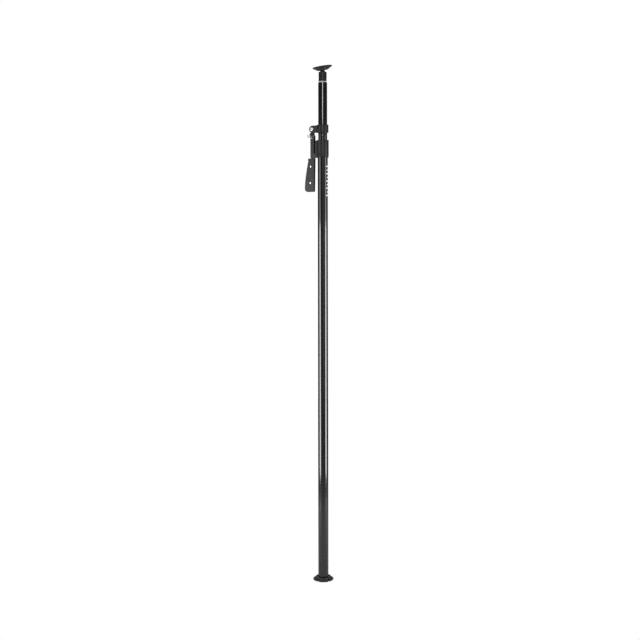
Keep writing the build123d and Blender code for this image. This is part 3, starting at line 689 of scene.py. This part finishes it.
@dataclass
class RubberCup:
    """Lobed rubber cup: contact face, slotted rim, cone with sunk panels, and open throat."""

    node: str
    body: str
    rim: float
    height: float
    lip: float
    opening: float
    throat: float
    disc_radius: float
    disc_low: float
    disc_high: float
    lip_width: float = 2.4
    valley_share: float = 0.45
    rim_height: float = 4.5
    rim_corner: float = 2.0
    cone_start: float = 0.1
    cone_end: float = 0.96
    slot_start: float = 35.0
    slot_half_angle: float = 5.7
    slot_step: float = 0.12
    narrow_lobe: float = 71.0
    panel_depth: float = 0.9
    panel_margin: float = 10.0
    panel_start: float = 0.2
    panel_end: float = 0.82
    panel_edge: float = 0.03
    contact: float = 7.0
    suction: float = 1.0
    boss: float = 12.0
    cone_rows: int = 34

    def profile(self) -> Values:
        """Section from the contact face's centre round the rim and the lip to the cavity."""
        valley = self.opening + (self.lip - self.lip_width - self.opening) * self.valley_share
        lip_outer = self.lip + self.lip_width / 2
        start, end = np.array([self.rim, self.rim_height]), np.array([lip_outer, self.height])
        contact_start = self.rim - self.rim_corner - self.contact
        face = disc_profile(
            [
                (0, 0, 0),
                (self.boss, 0, 0.4),
                (self.boss + self.suction, self.suction, 0.4),
                (contact_start - self.suction, self.suction, 0.4),
                (contact_start, 0, 0.4),
                (self.rim - self.rim_corner, 0, 1.0),
                (self.rim, self.rim_corner, 1.0),
                (self.rim, self.rim_height, 1.4),
                (*(start + (end - start) * self.cone_start), 0),
            ]
        )
        shares = np.linspace(self.cone_start, self.cone_end, self.cone_rows)[1:, None]
        cone = start + (end - start) * shares
        back = disc_profile(
            [
                (*(start + (end - start) * self.cone_end), 0),
                (lip_outer, self.height, 0.5),
                (lip_outer - self.lip_width, self.height, 0.9),
                (valley, self.throat, 1.5),
                (self.opening, self.throat, 0.3),
                (self.opening, self.disc_high, 0),
                (self.disc_radius, self.disc_high, 0),
                (self.disc_radius, self.disc_low, 0),
                (0, self.disc_low, 0),
            ]
        )
        return np.vstack([face, cone, back[1:]])

    def angles(self) -> tuple[Values, Values]:
        """Steps round the cup, close together at the slots, and the slots' own angles."""
        half = self.narrow_lobe / 2
        slots = np.array([half, 180 - half, 180 + half, 360 - half])
        even = np.linspace(0, 360, 180, endpoint=False)
        edge = self.slot_half_angle
        step = self.slot_step
        flank = np.array([edge - step, edge + step, edge + 0.5])
        near = np.r_[-flank, 0, flank]
        close = (slots[:, None] + near[None]).ravel()
        return np.unique(np.r_[even, close]), slots

    def build(self, origin: Values, axes: Values) -> None:
        """Bends the turned section by its slots and panels.

        Inside a slot a radius past the slot's start is drawn back to it. On the cone, a point
        moves in along the cone's normal by the panel's depth times one window in angle and one
        along the cone, each window rising and falling with a smooth step.

        Args:
            origin: Centre of the contact face.
            axes: Local axes, +X along the narrow lobes and +Z into the cup.
        """
        profile = self.profile()
        degrees, slots = self.angles()
        angle = np.radians(degrees)
        off = np.abs((degrees[:, None] - slots[None] + 180) % 360 - 180).min(axis=1)
        radius = np.repeat(profile[:, :1], len(angle), axis=1)
        height = np.repeat(profile[:, 1:], len(angle), axis=1)
        lip_outer = self.lip + self.lip_width / 2
        run, rise = self.rim - lip_outer, self.height - self.rim_height
        share = np.clip((height - self.rim_height) / rise, 0, 1)
        outside = np.abs(radius - (self.rim - run * share)) < 0.05
        low, high, edge = self.panel_start, self.panel_end, self.panel_edge
        along = smooth(share, low - edge, low + edge) * (1 - smooth(share, high - edge, high + edge))
        around = smooth(off, self.panel_margin - 1, self.panel_margin + 0.6)[None]
        sink = self.panel_depth * along * around * outside
        slope = math.hypot(run, rise)
        radius = radius - sink * rise / slope
        height = height - sink * run / slope
        edge = self.slot_half_angle
        open_slot = 1 - smooth(off, edge - self.slot_step, edge + self.slot_step)
        over = np.maximum(radius - self.slot_start, 0) * open_slot[None]
        radius = radius - over
        local = np.stack([radius * np.cos(angle), radius * np.sin(angle), height], axis=-1)
        shell = skin(local @ axes + origin, ring=True)
        make_piece(f"{self.node}_rubber", shell, RUBBER, self.body, (self.node,))


def smooth(value: Values, low: float, high: float) -> Values:
    """Smooth step: 3t² - 2t³, where t runs from 0 at low to 1 at high."""
    t = np.clip((value - low) / (high - low), 0, 1)
    return t * t * (3 - 2 * t)


@dataclass
class LowerBracket:
    """Die-cast bracket on the outer tube: a sleeve, a boss and the two cheeks of the lever."""

    tube_radius: float = 22.55
    mouth_radius: float = 20.6
    mouth_height: float = 6.6
    cheek_inner: float = 3.0
    cheek_outer: float = 7.0
    boss_edge: float = -35.5
    post_half: float = 9.7
    bridge: float = 20.0
    ease: float = 0.9
    screw_height: float = 12.0
    screw_head: float = 4.2
    groove_depth: float = 1.3
    groove_low: float = 3.6
    groove_high: float = 6.4
    groove_slope: float = 0.7
    sleeve_overlap: float = 0.4
    cheek_overlap: float = 1.5
    head_height: float = 1.8
    socket: float = 1.9
    socket_floor: float = 0.6

    def build(self) -> None:
        """Makes the casting and its screws."""
        low, high = span("lower_bracket")
        bottom = low[2]
        pivot = joint_place("lever_swing")
        radius = high[0]
        top = span("top_glide_bush")[1][2] + self.mouth_height
        section = rounded(
            np.array(
                [
                    (self.tube_radius, bottom),
                    (radius, bottom),
                    (radius, bottom + self.groove_low),
                    (radius - self.groove_depth, bottom + self.groove_low + self.groove_slope),
                    (radius - self.groove_depth, bottom + self.groove_high - self.groove_slope),
                    (radius, bottom + self.groove_high),
                    (radius, top),
                    (self.mouth_radius, top),
                    (self.mouth_radius, top - self.mouth_height),
                    (self.tube_radius, top - self.mouth_height),
                ]
            ),
            self.ease,
        )
        shells = [lathe(section, 128)]
        inner_edge = -self.tube_radius - self.sleeve_overlap
        boss = np.array(
            [
                (self.boss_edge, bottom),
                (inner_edge, bottom),
                (inner_edge, top),
                (self.boss_edge, top),
            ]
        )
        shells.append(plate(rounded(boss, 1.4), -self.cheek_outer, self.cheek_outer, self.ease))
        cheek = self.cheek(bottom, pivot)
        shells.append(plate(cheek, -self.cheek_outer, -self.cheek_inner, self.ease))
        shells.append(plate(cheek, self.cheek_inner, self.cheek_outer, self.ease))
        casting = joined(shells)
        make_piece("lower_bracket_casting", casting, CASTING, "outer_pole", ("lower_bracket",))
        self.screws(bottom + self.screw_height, radius)

    def cheek(self, bottom: float, pivot: Values) -> Values:
        """Edge of a cheek: bridge, post, and the half circle about the pivot."""
        turn = np.linspace(0, math.pi, 25)
        top = pivot[[0, 2]] + self.post_half * np.stack([np.cos(turn), np.sin(turn)], axis=1)
        root = self.boss_edge + self.cheek_overlap
        corners = np.array(
            [
                (pivot[0] - self.post_half, bottom),
                (root, bottom),
                (root, bottom + self.bridge),
                (pivot[0] + self.post_half, bottom + self.bridge),
                top[0],
                top[-1],
            ]
        )
        eased = rounded(corners, np.array([3.0, 0.5, 0.5, 2.0, 0, 0]))
        return np.vstack([eased[:-2], top])

    def screws(self, height: float, radius: float) -> None:
        """Two round-headed socket screws through the sleeve."""
        profile = disc_profile(
            [
                (0, -1, 0),
                (self.screw_head, -1, 0),
                (self.screw_head, 0.9, 0.5),
                (self.screw_head - 0.9, self.head_height, 0.6),
                (self.socket, self.head_height + 0.3, 0.2),
                (self.socket - 0.2, self.socket_floor, 0.1),
                (0, self.socket_floor, 0),
            ]
        )
        share = ((profile[:, 0] < self.socket + 0.1) & (profile[:, 1] > 0)).astype(float)
        heads = joined(
            [
                lathe(profile, 48, (0, side * radius, height), basis((0, side, 0)), share)
                for side in (-1, 1)
            ]
        )
        make_piece("bracket_screw_heads", heads, BLACK_STEEL, "outer_pole", ("bracket_screws",))


@dataclass
class ClampCollar:
    """Collar on the inner tube, its two ears, the bolt across them and the roller."""

    liner_radius: float = 22.0
    ear_inner: float = 3.2
    ear_outer: float = 8.0
    ear_radius: float = 15.2
    ease: float = 1.0
    head_radius: float = 8.8
    head_height: float = 4.0
    head_slope: float = 1.4
    socket: float = 3.0
    socket_depth: float = 2.0
    bolt_past_nut: float = 2.0
    nut_radius: float = 5.77
    nut_height: float = 5.0
    bolt_radius: float = 3.0
    running_gap: float = 0.06
    roller_radius: float = 9.0
    roller_half: float = 3.0

    def build(self) -> None:
        """Makes the casting, the bolt, the nut and the roller."""
        low, high = span("clamp_collar")
        bottom, top, radius = low[2], high[2], high[0]
        hinge = joint_place("roller_spin")
        section = np.array(
            [
                (self.liner_radius, bottom),
                (radius, bottom),
                (radius, top),
                (self.liner_radius, top),
            ]
        )
        shells = [lathe(rounded(section, self.ease), 128)]
        ear = self.ear(bottom, top, hinge)
        shells.append(plate(ear, -self.ear_outer, -self.ear_inner, self.ease))
        shells.append(plate(ear, self.ear_inner, self.ear_outer, self.ease))
        make_piece("clamp_collar_casting", joined(shells), CASTING, "upper_clamp", ("clamp_collar",))
        self.bolt(hinge)
        bore, half = self.bolt_radius + self.running_gap, self.roller_half
        roller = ring_profile(bore, self.roller_radius, -half, half, 0.5)
        shell = lathe(roller, 64, hinge, basis((0, 1, 0)))
        make_piece("cam_roller", shell, STEEL, "roller", ("follower_roller",))

    def ear(self, bottom: float, top: float, hinge: Values) -> Values:
        """Edge of an ear: the arc about the bolt and the arm that runs into the collar."""
        turn = np.linspace(math.radians(91), math.radians(266), 37)
        arc = hinge[[0, 2]] + self.ear_radius * np.stack([np.cos(turn), np.sin(turn)], axis=1)
        arm = np.array([(-self.liner_radius, bottom + 0.6), (-self.liner_radius, top - 0.6)])
        return np.vstack([arc, arm])

    def bolt(self, hinge: Values) -> None:
        """Low round head with a hexagon socket, plain shank, and nut on the far side."""
        face = self.ear_outer
        end = self.ear_outer + self.nut_height + self.bolt_past_nut
        top = face + self.head_height
        floor = top - self.socket_depth
        axes = basis((0, -1, 0))
        profile = disc_profile(
            [
                (0, -end, 0),
                (self.bolt_radius, -end, 0.6),
                (self.bolt_radius, face, 0),
                (self.head_radius, face, 0.3),
                (self.head_radius, top - 1.2, 0.9),
                (self.head_radius - self.head_slope, top, 0.9),
                (self.socket, top, 0.2),
                (self.socket - 0.2, floor, 0.1),
                (0, floor, 0),
            ]
        )
        share = ((profile[:, 0] <= self.socket) & (profile[:, 1] > face + 1)).astype(float)
        origin = hinge * np.array([1, 0, 1])
        bolt = lathe(profile, 96, origin, axes, share)
        make_piece("ear_bolt", bolt, BOLT, "upper_clamp", ("follower_bolt",))
        nut = ring_profile(self.bolt_radius, self.nut_radius, 0, self.nut_height, 0.5)
        share = (nut[:, 0] > self.nut_radius - 1).astype(float)
        place = origin + np.array([0, self.ear_outer, 0])
        nut = lathe(nut, 60, place, basis((0, 1, 0)), share)
        make_piece("ear_nut", nut, BOLT, "upper_clamp", ("follower_nut",))


@dataclass
class Lever:
    """Cam blade, its two grip scales and their rivets."""

    blade_half: float = 2.5
    blade_ease: float = 0.5
    grip_half: float = 5.2
    grip_ease: float = 1.5
    shank_half: float = 8.0
    shank_start: float = 20.0
    tang_overlap: float = 12.0
    tang_inset: float = 1.0
    follower: float = 33.5
    roller: float = 9.2
    cam_drop: float = 8.0
    swing: float = 105.0
    overrun: float = 8.0
    grip_top_width: float = 34.3
    grip_bottom_width: float = 49.3
    grip_inner_top: float = 3.4
    grip_inner_bottom: float = 0.5
    straight: float = 13.0
    corner: float = 15.0
    corner_room: float = 1.4
    small_corner: float = 3.0
    rivet_radius: float = 4.5
    rivet_rise: float = 1.2
    rivet_shank: float = 2.5
    rivet_places: tuple = ((16.4, 35.3), (18.5, 108.7))
    rows: int = 24
    swell_power: float = 1.47

    def build(self) -> None:
        """Makes the blade, the scales and the rivets."""
        low, high = span("grip_scale_front")
        pivot = joint_place("lever_swing")
        blade = self.blade(pivot, low[2], high[2])
        shell = plate(blade, -self.blade_half, self.blade_half, self.blade_ease)
        make_piece("lever_blade_plate", shell, BLACK_STEEL, "lever", ("lever_blade",))
        edge = self.grip(pivot, low[2], high[2], 0)
        outer, inner = self.grip_ease, self.blade_ease
        front = plate(edge, -self.grip_half, -self.blade_half, (outer, inner), 6)
        rear = plate(edge, self.blade_half, self.grip_half, (inner, outer), 6)
        make_piece("grip_front", front, GRIP, "lever", ("grip_scale_front",))
        make_piece("grip_rear", rear, GRIP, "lever", ("grip_scale_rear",))
        self.rivets(pivot, high[2])

    def blade(self, pivot: Values, bottom: float, top: float) -> Values:
        """Edge of the blade: the cam's spiral, the shank, and the tang inside the grip.

        The roller's middle comes nearer to the pivot in proportion to the swing. The cam is the
        curve that stays the roller's radius and a small gap inside that path, measured square
        to it.
        """
        turn = np.radians(np.linspace(-self.overrun, self.swing + self.overrun, 40))
        slope = self.cam_drop / math.radians(self.swing)
        pitch = self.follower - slope * turn
        lean = np.arctan2(slope, pitch)
        radial = pitch - self.roller * np.cos(lean)
        sideways = -self.roller * np.sin(lean)
        cam = pivot[[0, 2]] + np.stack(
            [
                -radial * np.sin(turn) - sideways * np.cos(turn),
                radial * np.cos(turn) - sideways * np.sin(turn),
            ],
            axis=1,
        )
        left, right = pivot[0] - self.shank_half, pivot[0] + self.shank_half
        tang = self.grip(pivot, bottom, top, self.tang_inset)
        split = int(np.argmax(tang[:, 1]))
        tang = np.roll(tang, -split, axis=0)
        side = tang[tang[:, 1] < top - self.tang_overlap]
        shank_end = top - self.tang_overlap / 2
        shank = np.array([(left, pivot[2] - self.shank_start), (left, shank_end)])
        back = np.array([(right, shank_end), (right, pivot[2] + 2 * self.shank_half)])
        return np.vstack([cam, shank, side, back])

    def grip(self, pivot: Values, bottom: float, top: float, inset: float) -> Values:
        """Edge of the grip, anticlockwise.

        The outer edge runs straight down and then swells outwards, by one minus a power of what
        is left of its length. An arc leads into the bottom edge.
        """
        edge = pivot[0] + self.shank_half
        inner_top = edge + self.grip_inner_top - inset
        inner_bottom = edge + self.grip_inner_bottom - inset
        outer_top = inner_top - self.grip_top_width + 2 * inset
        outer_bottom = inner_bottom - self.grip_bottom_width + 2 * inset
        start, end = top - self.straight, bottom + self.corner * self.corner_room
        u = np.linspace(0, 1, self.rows)
        swell = (outer_top - outer_bottom) * (1 - (1 - u) ** self.swell_power)
        curve = np.stack([outer_top - swell, start + (end - start) * u], axis=1)
        turn = np.linspace(math.pi, 1.5 * math.pi, 13)
        radius = self.corner - inset
        centre = (outer_bottom + radius, bottom + self.corner)
        arc = centre + radius * np.stack([np.cos(turn), np.sin(turn)], axis=1)
        corners = np.array(
            [
                (outer_top, top - inset),
                *curve,
                *arc,
                (inner_bottom, bottom + inset),
                (inner_top, top - inset),
            ]
        )
        ease = np.r_[0.8, np.zeros(len(curve) + len(arc)), self.small_corner, 0.8]
        return rounded(corners, ease, steps=8)

    def rivets(self, pivot: Values, top: float) -> None:
        """Two domed rivets, each with a shallow ring pressed round its middle."""
        edge = pivot[0] + self.shank_half
        places = [(edge - inward, top - drop) for inward, drop in self.rivet_places]
        r = self.rivet_radius
        rise = self.rivet_rise
        section = disc_profile(
            [
                (0, 0, 0),
                (self.rivet_shank, 0, 0),
                (self.rivet_shank, self.grip_half, 0),
                (r, self.grip_half, 0),
                (r, self.grip_half + 0.5 * rise, 0.4),
                (0.72 * r, self.grip_half + rise, 0.8),
                (0.4 * r, self.grip_half + rise, 0.3),
                (0.3 * r, self.grip_half + 0.6 * rise, 0.3),
                (0, self.grip_half + 0.6 * rise, 0),
            ]
        )
        heads = joined(
            [
                lathe(section, 48, (x, 0, z), basis((0, side, 0)))
                for x, z in places
                for side in (-1, 1)
            ]
        )
        make_piece("grip_rivet_heads", heads, RIVET, "lever", ("grip_rivets",))


@dataclass
class SafetyCatch:
    """Ferrule on the cheek, push button in it, and the locking plate on the far side."""

    stem_radius: float = 3.06
    flange_radius: float = 9.9
    flange: float = 3.0
    tube_radius: float = 9.0
    bore: float = 7.66
    button_radius: float = 7.6
    dimple_radius: float = 5.2
    dimple_depth: float = 3.0
    ridge: float = 0.25
    ridge_pitch: float = 1.5
    ridge_start: float = 8.0
    ridge_end: float = 2.0
    button_solid: float = 10.0
    button_bore: float = 5.0
    travel: float = 5.05
    spring_radius: float = 4.55
    spring_wire: float = 0.4
    spring_turns: int = 5

    def build(self) -> None:
        """Makes the ferrule and the button, dresses the plate and the small steel parts, and winds the
        spring.
        """
        pivot = joint_place("lever_swing") * np.array([1, 0, 1])
        out = basis((0, -1, 0))
        low, high = span("catch_ferrule")
        start, end = -high[1], -low[1]
        ferrule = rounded(
            np.array(
                [
                    (self.stem_radius, start),
                    (self.flange_radius, start),
                    (self.flange_radius, start + self.flange),
                    (self.tube_radius, start + self.flange + 0.6),
                    (self.tube_radius, end),
                    (self.bore, end),
                    (self.bore, start + self.flange),
                    (self.stem_radius, start + self.flange),
                ]
            ),
            np.array([0, 0.5, 0.9, 0.4, 0.6, 0.2, 0, 0]),
        )
        shell = lathe(ferrule, 96, pivot, out)
        make_piece("catch_ferrule_turned", shell, NICKEL, "outer_pole", ("catch_ferrule",))
        low, high = span("catch_button")
        button = self.button(-high[1], -low[1], pivot, out)
        make_piece("catch_button_turned", button, NICKEL, "catch", ("catch_button",))
        for node in ("catch_stem", "catch_plate", "catch_pin"):
            dress(node, STEEL)
        dress("pivot_sleeve", STEEL)
        self.spring(pivot)

    def spring(self, pivot: Values) -> None:
        """The button's spring."""
        low, high = span("catch_spring")
        shell = coil(self.spring_radius, self.spring_wire, low[1], high[1], self.spring_turns)
        shell.points = shell.points @ basis((0, 1, 0)) + pivot
        piece = make_piece("catch_spring_wire", shell, SPRING, "catch", ("catch_spring",))
        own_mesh(piece)

    def button(self, start: float, end: float, pivot: Values, out: Values) -> Shell:
        """The button's barrel: a cup with a dimple in its end and fine ridges round it.

        The ridges are a raised cosine along the barrel's last stretch.
        """
        grip = np.linspace(end - self.ridge_start, end - self.ridge_end, 33)
        wave = 0.5 - 0.5 * np.cos((grip - grip[0]) * TURN / self.ridge_pitch)
        ridges = np.stack([self.button_radius - self.ridge * wave, grip], axis=1)
        back = disc_profile(
            [
                (0, end - self.button_solid, 0),
                (self.button_bore, end - self.button_solid, 0),
                (self.button_bore, start, 0.2),
                (self.button_radius, start, 0.3),
                (self.button_radius, end - self.ridge_start - 0.1, 0),
            ]
        )
        front = disc_profile(
            [
                (self.button_radius, end - self.ridge_end + 0.1, 0),
                (self.button_radius, end, 0.9),
                (self.dimple_radius + 0.3, end, 0.4),
                (self.dimple_radius, end - self.dimple_depth, 0.5),
                (0, end - self.dimple_depth, 0),
            ]
        )
        return lathe(np.vstack([back, ridges, front]), 96, pivot, out)


@dataclass
class Plunger:
    """Pale guide ring in the inner tube's end and the neck that slides through it."""

    guide_bore: float = 17.9
    neck_radius: float = 17.8
    shoulder: float = 1.5
    ring_step: float = 0.2
    groove: float = 0.5
    groove_place: float = 36.0
    groove_width: float = 3.0
    groove_slope: float = 0.6
    spring_guide: float = 10.5
    spring_guide_length: float = 20.0
    stop_height: float = 9.8
    screw_radius: float = 4.0
    screw_depth: float = 12.0
    travel: float = 25.05
    spring_radius: float = 14.0
    spring_wire: float = 1.4
    spring_turns: int = 9

    def build(self) -> None:
        """Turns the guide ring and the neck."""
        low, high = span("guide_ring")
        tube_top = span("inner_tube")[1][2]
        radius = high[0]
        ring = rounded(
            np.array(
                [
                    (self.guide_bore, low[2]),
                    (radius, low[2]),
                    (radius, tube_top),
                    (radius - self.ring_step, tube_top + 0.1),
                    (radius - self.ring_step, high[2]),
                    (self.guide_bore, high[2]),
                ]
            ),
            np.array([0.2, 0.2, 0.05, 0.05, 0.3, 0.2]),
        )
        make_piece("guide_ring_turned", lathe(ring, 128), PALE_NYLON, "inner_pole", ("guide_ring",))
        low, top = span("plunger_neck")
        r, z = self.neck_radius, top[2]
        stop_low = low[2] + self.spring_guide_length
        stop_high = stop_low + self.stop_height
        groove_low = z - self.groove_place
        groove_high = groove_low + self.groove_width
        neck = disc_profile(
            [
                (0, low[2], 0),
                (self.spring_guide, low[2], 0.8),
                (self.spring_guide, stop_low, 0),
                (top[0], stop_low, 0.3),
                (top[0], stop_high, 0.3),
                (r, stop_high, 0),
                (r, groove_low, 0.1),
                (r - self.groove, groove_low + self.groove_slope, 0.1),
                (r - self.groove, groove_high - self.groove_slope, 0.1),
                (r, groove_high, 0.1),
                (r, z - self.shoulder, 0.8),
                (r - self.shoulder, z, 0.8),
                (self.screw_radius, z, 0),
                (self.screw_radius, z - self.screw_depth, 0),
                (0, z - self.screw_depth, 0),
            ]
        )
        make_piece("neck_turned", lathe(neck, 128), NECK, "plunger", ("plunger_neck",))
        dress("swivel_screw", STEEL)
        self.spring()

    def spring(self) -> None:
        """The thrust spring."""
        low, high = span("thrust_spring")
        shell = coil(self.spring_radius, self.spring_wire, low[2], high[2], self.spring_turns)
        piece = make_piece("thrust_spring_wire", shell, SPRING, "plunger", ("thrust_spring",))
        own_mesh(piece)


@dataclass
class Cups:
    """The rubber foot, the head pad, and the swivel under the pad."""

    foot_facing: float = -57.0
    tilt: float = 10.0
    rise: float = 13.0

    def build(self) -> None:
        """Places both cups and dresses the swivel."""
        facing = math.radians(self.foot_facing)
        foot = RubberCup(
            "foot_pad", "outer_pole", rim=44.6, height=15.0, lip=30.5, opening=22.55, throat=11.0,
            disc_radius=30.05, disc_low=5.0, disc_high=9.0,
        )
        foot.build(np.zeros(3), basis((0, 0, 1), (math.cos(facing), math.sin(facing), 0)))
        pin = joint_place("pad_tilt")
        axis = joint_axis("pad_tilt")
        side = np.cross(axis, (0, 0, 1))
        lean = math.radians(self.tilt)
        up = np.array([0, 0, 1]) * math.cos(lean) + side * math.sin(lean)
        pad = RubberCup(
            "head_pad", "head_tilt", rim=43.5, height=16.0, lip=23.0, opening=19.0, throat=9.5,
            disc_radius=28.05, disc_low=4.5, disc_high=7.5,
        )
        pad.build(pin + up * self.rise, basis(-up, side))
        dress("head_hub", NYLON)
        dress("head_disc", NYLON)
        dress("tilt_pin", STEEL)


# ------------------------------------------------------------------ studio
@dataclass(frozen=True)
class Strip:
    """Tall soft light that faces the pole.

    The turn is in degrees round from the camera's side, the distance from the pole and the
    middle's height above the floor are in metres, and the radiance is that of its face.
    """

    name: str
    turn: float
    distance: float
    width: float
    height: float
    middle: float
    radiance: float


STRIPS = (
    Strip("left_strip", -68, 1.5, 0.80, 1.50, 0.85, 8.0),
    Strip("right_strip", 68, 1.5, 0.80, 1.50, 0.85, 8.0),
    Strip("left_upper", -68, 1.5, 0.80, 0.50, 1.86, 2.2),
    Strip("right_upper", 68, 1.5, 0.80, 0.50, 1.86, 2.8),
    Strip("front_strip", -3, 4.6, 1.00, 1.00, 3.05, 11.0),
    Strip("front_fill", 12, 5.0, 3.80, 3.00, 1.50, 0.25),
    Strip("back_fill", 180, 3.0, 2.40, 2.40, 1.50, 1.2),
)


@dataclass
class Studio:
    """Floor, lights and camera. Metres and degrees, angles counted from the camera's side."""

    distance: float = 4.38
    azimuth: float = 33.0
    eye: float = 1.49
    lens: float = 55.74
    shift_x: float = -0.0045
    shift_y: float = -0.1219
    roll: float = 0.09
    backdrop: float = 1.0
    fill: float = 0.05
    floor_half: float = 12.0
    floor_tone: float = 0.55

    def build(self) -> None:
        """Sets up the whole studio."""
        scene = bpy.context.scene
        scene.view_settings.view_transform = "Standard"
        scene.view_settings.look = "None"
        self.world()
        self.floor()
        for strip in STRIPS:
            self.light(strip)
        self.camera()

    def ahead(self, turn: float, far: float, height: float) -> Values:
        """Point at a distance from the pole, turned from the camera's side."""
        angle = math.radians(self.azimuth + turn)
        return np.array([far * math.sin(angle), -far * math.cos(angle), height])

    def world(self) -> None:
        """White behind the pole, and a dim fill everywhere else."""
        world = bpy.data.worlds.new("studio")
        world.use_nodes = True
        bpy.context.scene.world = world
        world.node_tree.nodes.clear()
        nodes = Nodes(world.node_tree)
        path = nodes.add("ShaderNodeLightPath")
        seen = nodes.add("ShaderNodeBackground")
        dim = nodes.add("ShaderNodeBackground")
        seen.inputs["Color"].default_value = (*[self.backdrop] * 3, 1)
        dim.inputs["Strength"].default_value = self.fill
        mix = nodes.add("ShaderNodeMixShader")
        output = nodes.add("ShaderNodeOutputWorld")
        nodes.feed(mix.inputs[0], path.outputs["Is Camera Ray"])
        nodes.feed(mix.inputs[1], dim.outputs[0])
        nodes.feed(mix.inputs[2], seen.outputs[0])
        nodes.feed(output.inputs["Surface"], mix.outputs[0])

    def floor(self) -> None:
        """Pale floor that meets the backdrop without a line."""
        half = self.floor_half
        corners = [(-half, -half, 0), (half, -half, 0), (half, half, 0), (-half, half, 0)]
        mesh = bpy.data.meshes.new("floor")
        mesh.from_pydata(corners, [], [(0, 1, 2, 3)])
        floor = bpy.data.objects.new("floor", mesh)
        bpy.context.scene.collection.objects.link(floor)
        material = bpy.data.materials.new("pale_floor")
        material.use_nodes = True
        material.node_tree.nodes.clear()
        nodes = Nodes(material.node_tree)
        path = nodes.add("ShaderNodeLightPath")
        glow = nodes.add("ShaderNodeEmission")
        matte = nodes.add("ShaderNodeBsdfDiffuse")
        matte.inputs["Color"].default_value = (*[self.floor_tone] * 3, 1)
        mix = nodes.add("ShaderNodeMixShader")
        output = nodes.add("ShaderNodeOutputMaterial")
        nodes.feed(mix.inputs[0], path.outputs["Is Camera Ray"])
        nodes.feed(mix.inputs[1], matte.outputs[0])
        nodes.feed(mix.inputs[2], glow.outputs[0])
        nodes.feed(output.inputs["Surface"], mix.outputs[0])
        mesh.materials.append(material)

    def light(self, strip: Strip) -> None:
        """Adds one light, with its face towards the pole."""
        data = bpy.data.lights.new(strip.name, "AREA")
        data.shape = "RECTANGLE"
        data.size = strip.width
        data.size_y = strip.height
        data.energy = strip.radiance * math.pi * strip.width * strip.height
        lamp = bpy.data.objects.new(strip.name, data)
        lamp.visible_camera = False
        bpy.context.scene.collection.objects.link(lamp)
        place = self.ahead(strip.turn, strip.distance, strip.middle)
        back = place * np.array([1, 1, 0])
        back = back / np.linalg.norm(back)
        up = np.array([0.0, 0.0, 1.0])
        matrix = np.eye(4)
        matrix[:3, :3] = np.stack([np.cross(up, back), up, back], axis=1)
        matrix[:3, 3] = place
        lamp.matrix_world = Matrix(matrix.tolist())

    def camera(self) -> None:
        """Level camera that looks across the lever's side of the pole."""
        data = bpy.data.cameras.new("camera")
        data.lens = self.lens
        data.sensor_width = 36.0
        data.shift_x = self.shift_x
        data.shift_y = self.shift_y
        camera = bpy.data.objects.new("camera", data)
        bpy.context.scene.collection.objects.link(camera)
        camera.location = self.ahead(0, self.distance, self.eye)
        camera.rotation_mode = "XYZ"
        camera.rotation_euler = (math.radians(90), math.radians(self.roll), math.radians(self.azimuth))
        bpy.context.scene.camera = camera


def dress_inside() -> None:
    """Gives the pieces hidden inside the tubes and the castings their finishes."""
    finishes = {
        NYLON: ("foot_plug", "top_glide_bush", "clamp_liner", "tail_glide", "spring_seat"),
        STEEL: ("foot_pin", "grip_shoes", "tail_pin", "seat_pin"),
        SPRING: ("catch_clip",),
        BRONZE: ("pivot_bush",),
    }
    for finish, nodes in finishes.items():
        for node in nodes:
            dress(node, finish)


def main() -> None:
    """Builds the studio, then every sub-assembly, and dresses the pieces inside."""
    logging.basicConfig(level=logging.INFO, format="%(name)s: %(message)s")
    Studio().build()
    Tube("outer_tube", "outer_pole").build()
    Tube("inner_tube", "inner_pole").build()
    LowerBracket().build()
    ClampCollar().build()
    Lever().build()
    SafetyCatch().build()
    Plunger().build()
    Cups().build()
    dress_inside()


if __name__ == "__main__":
    main()
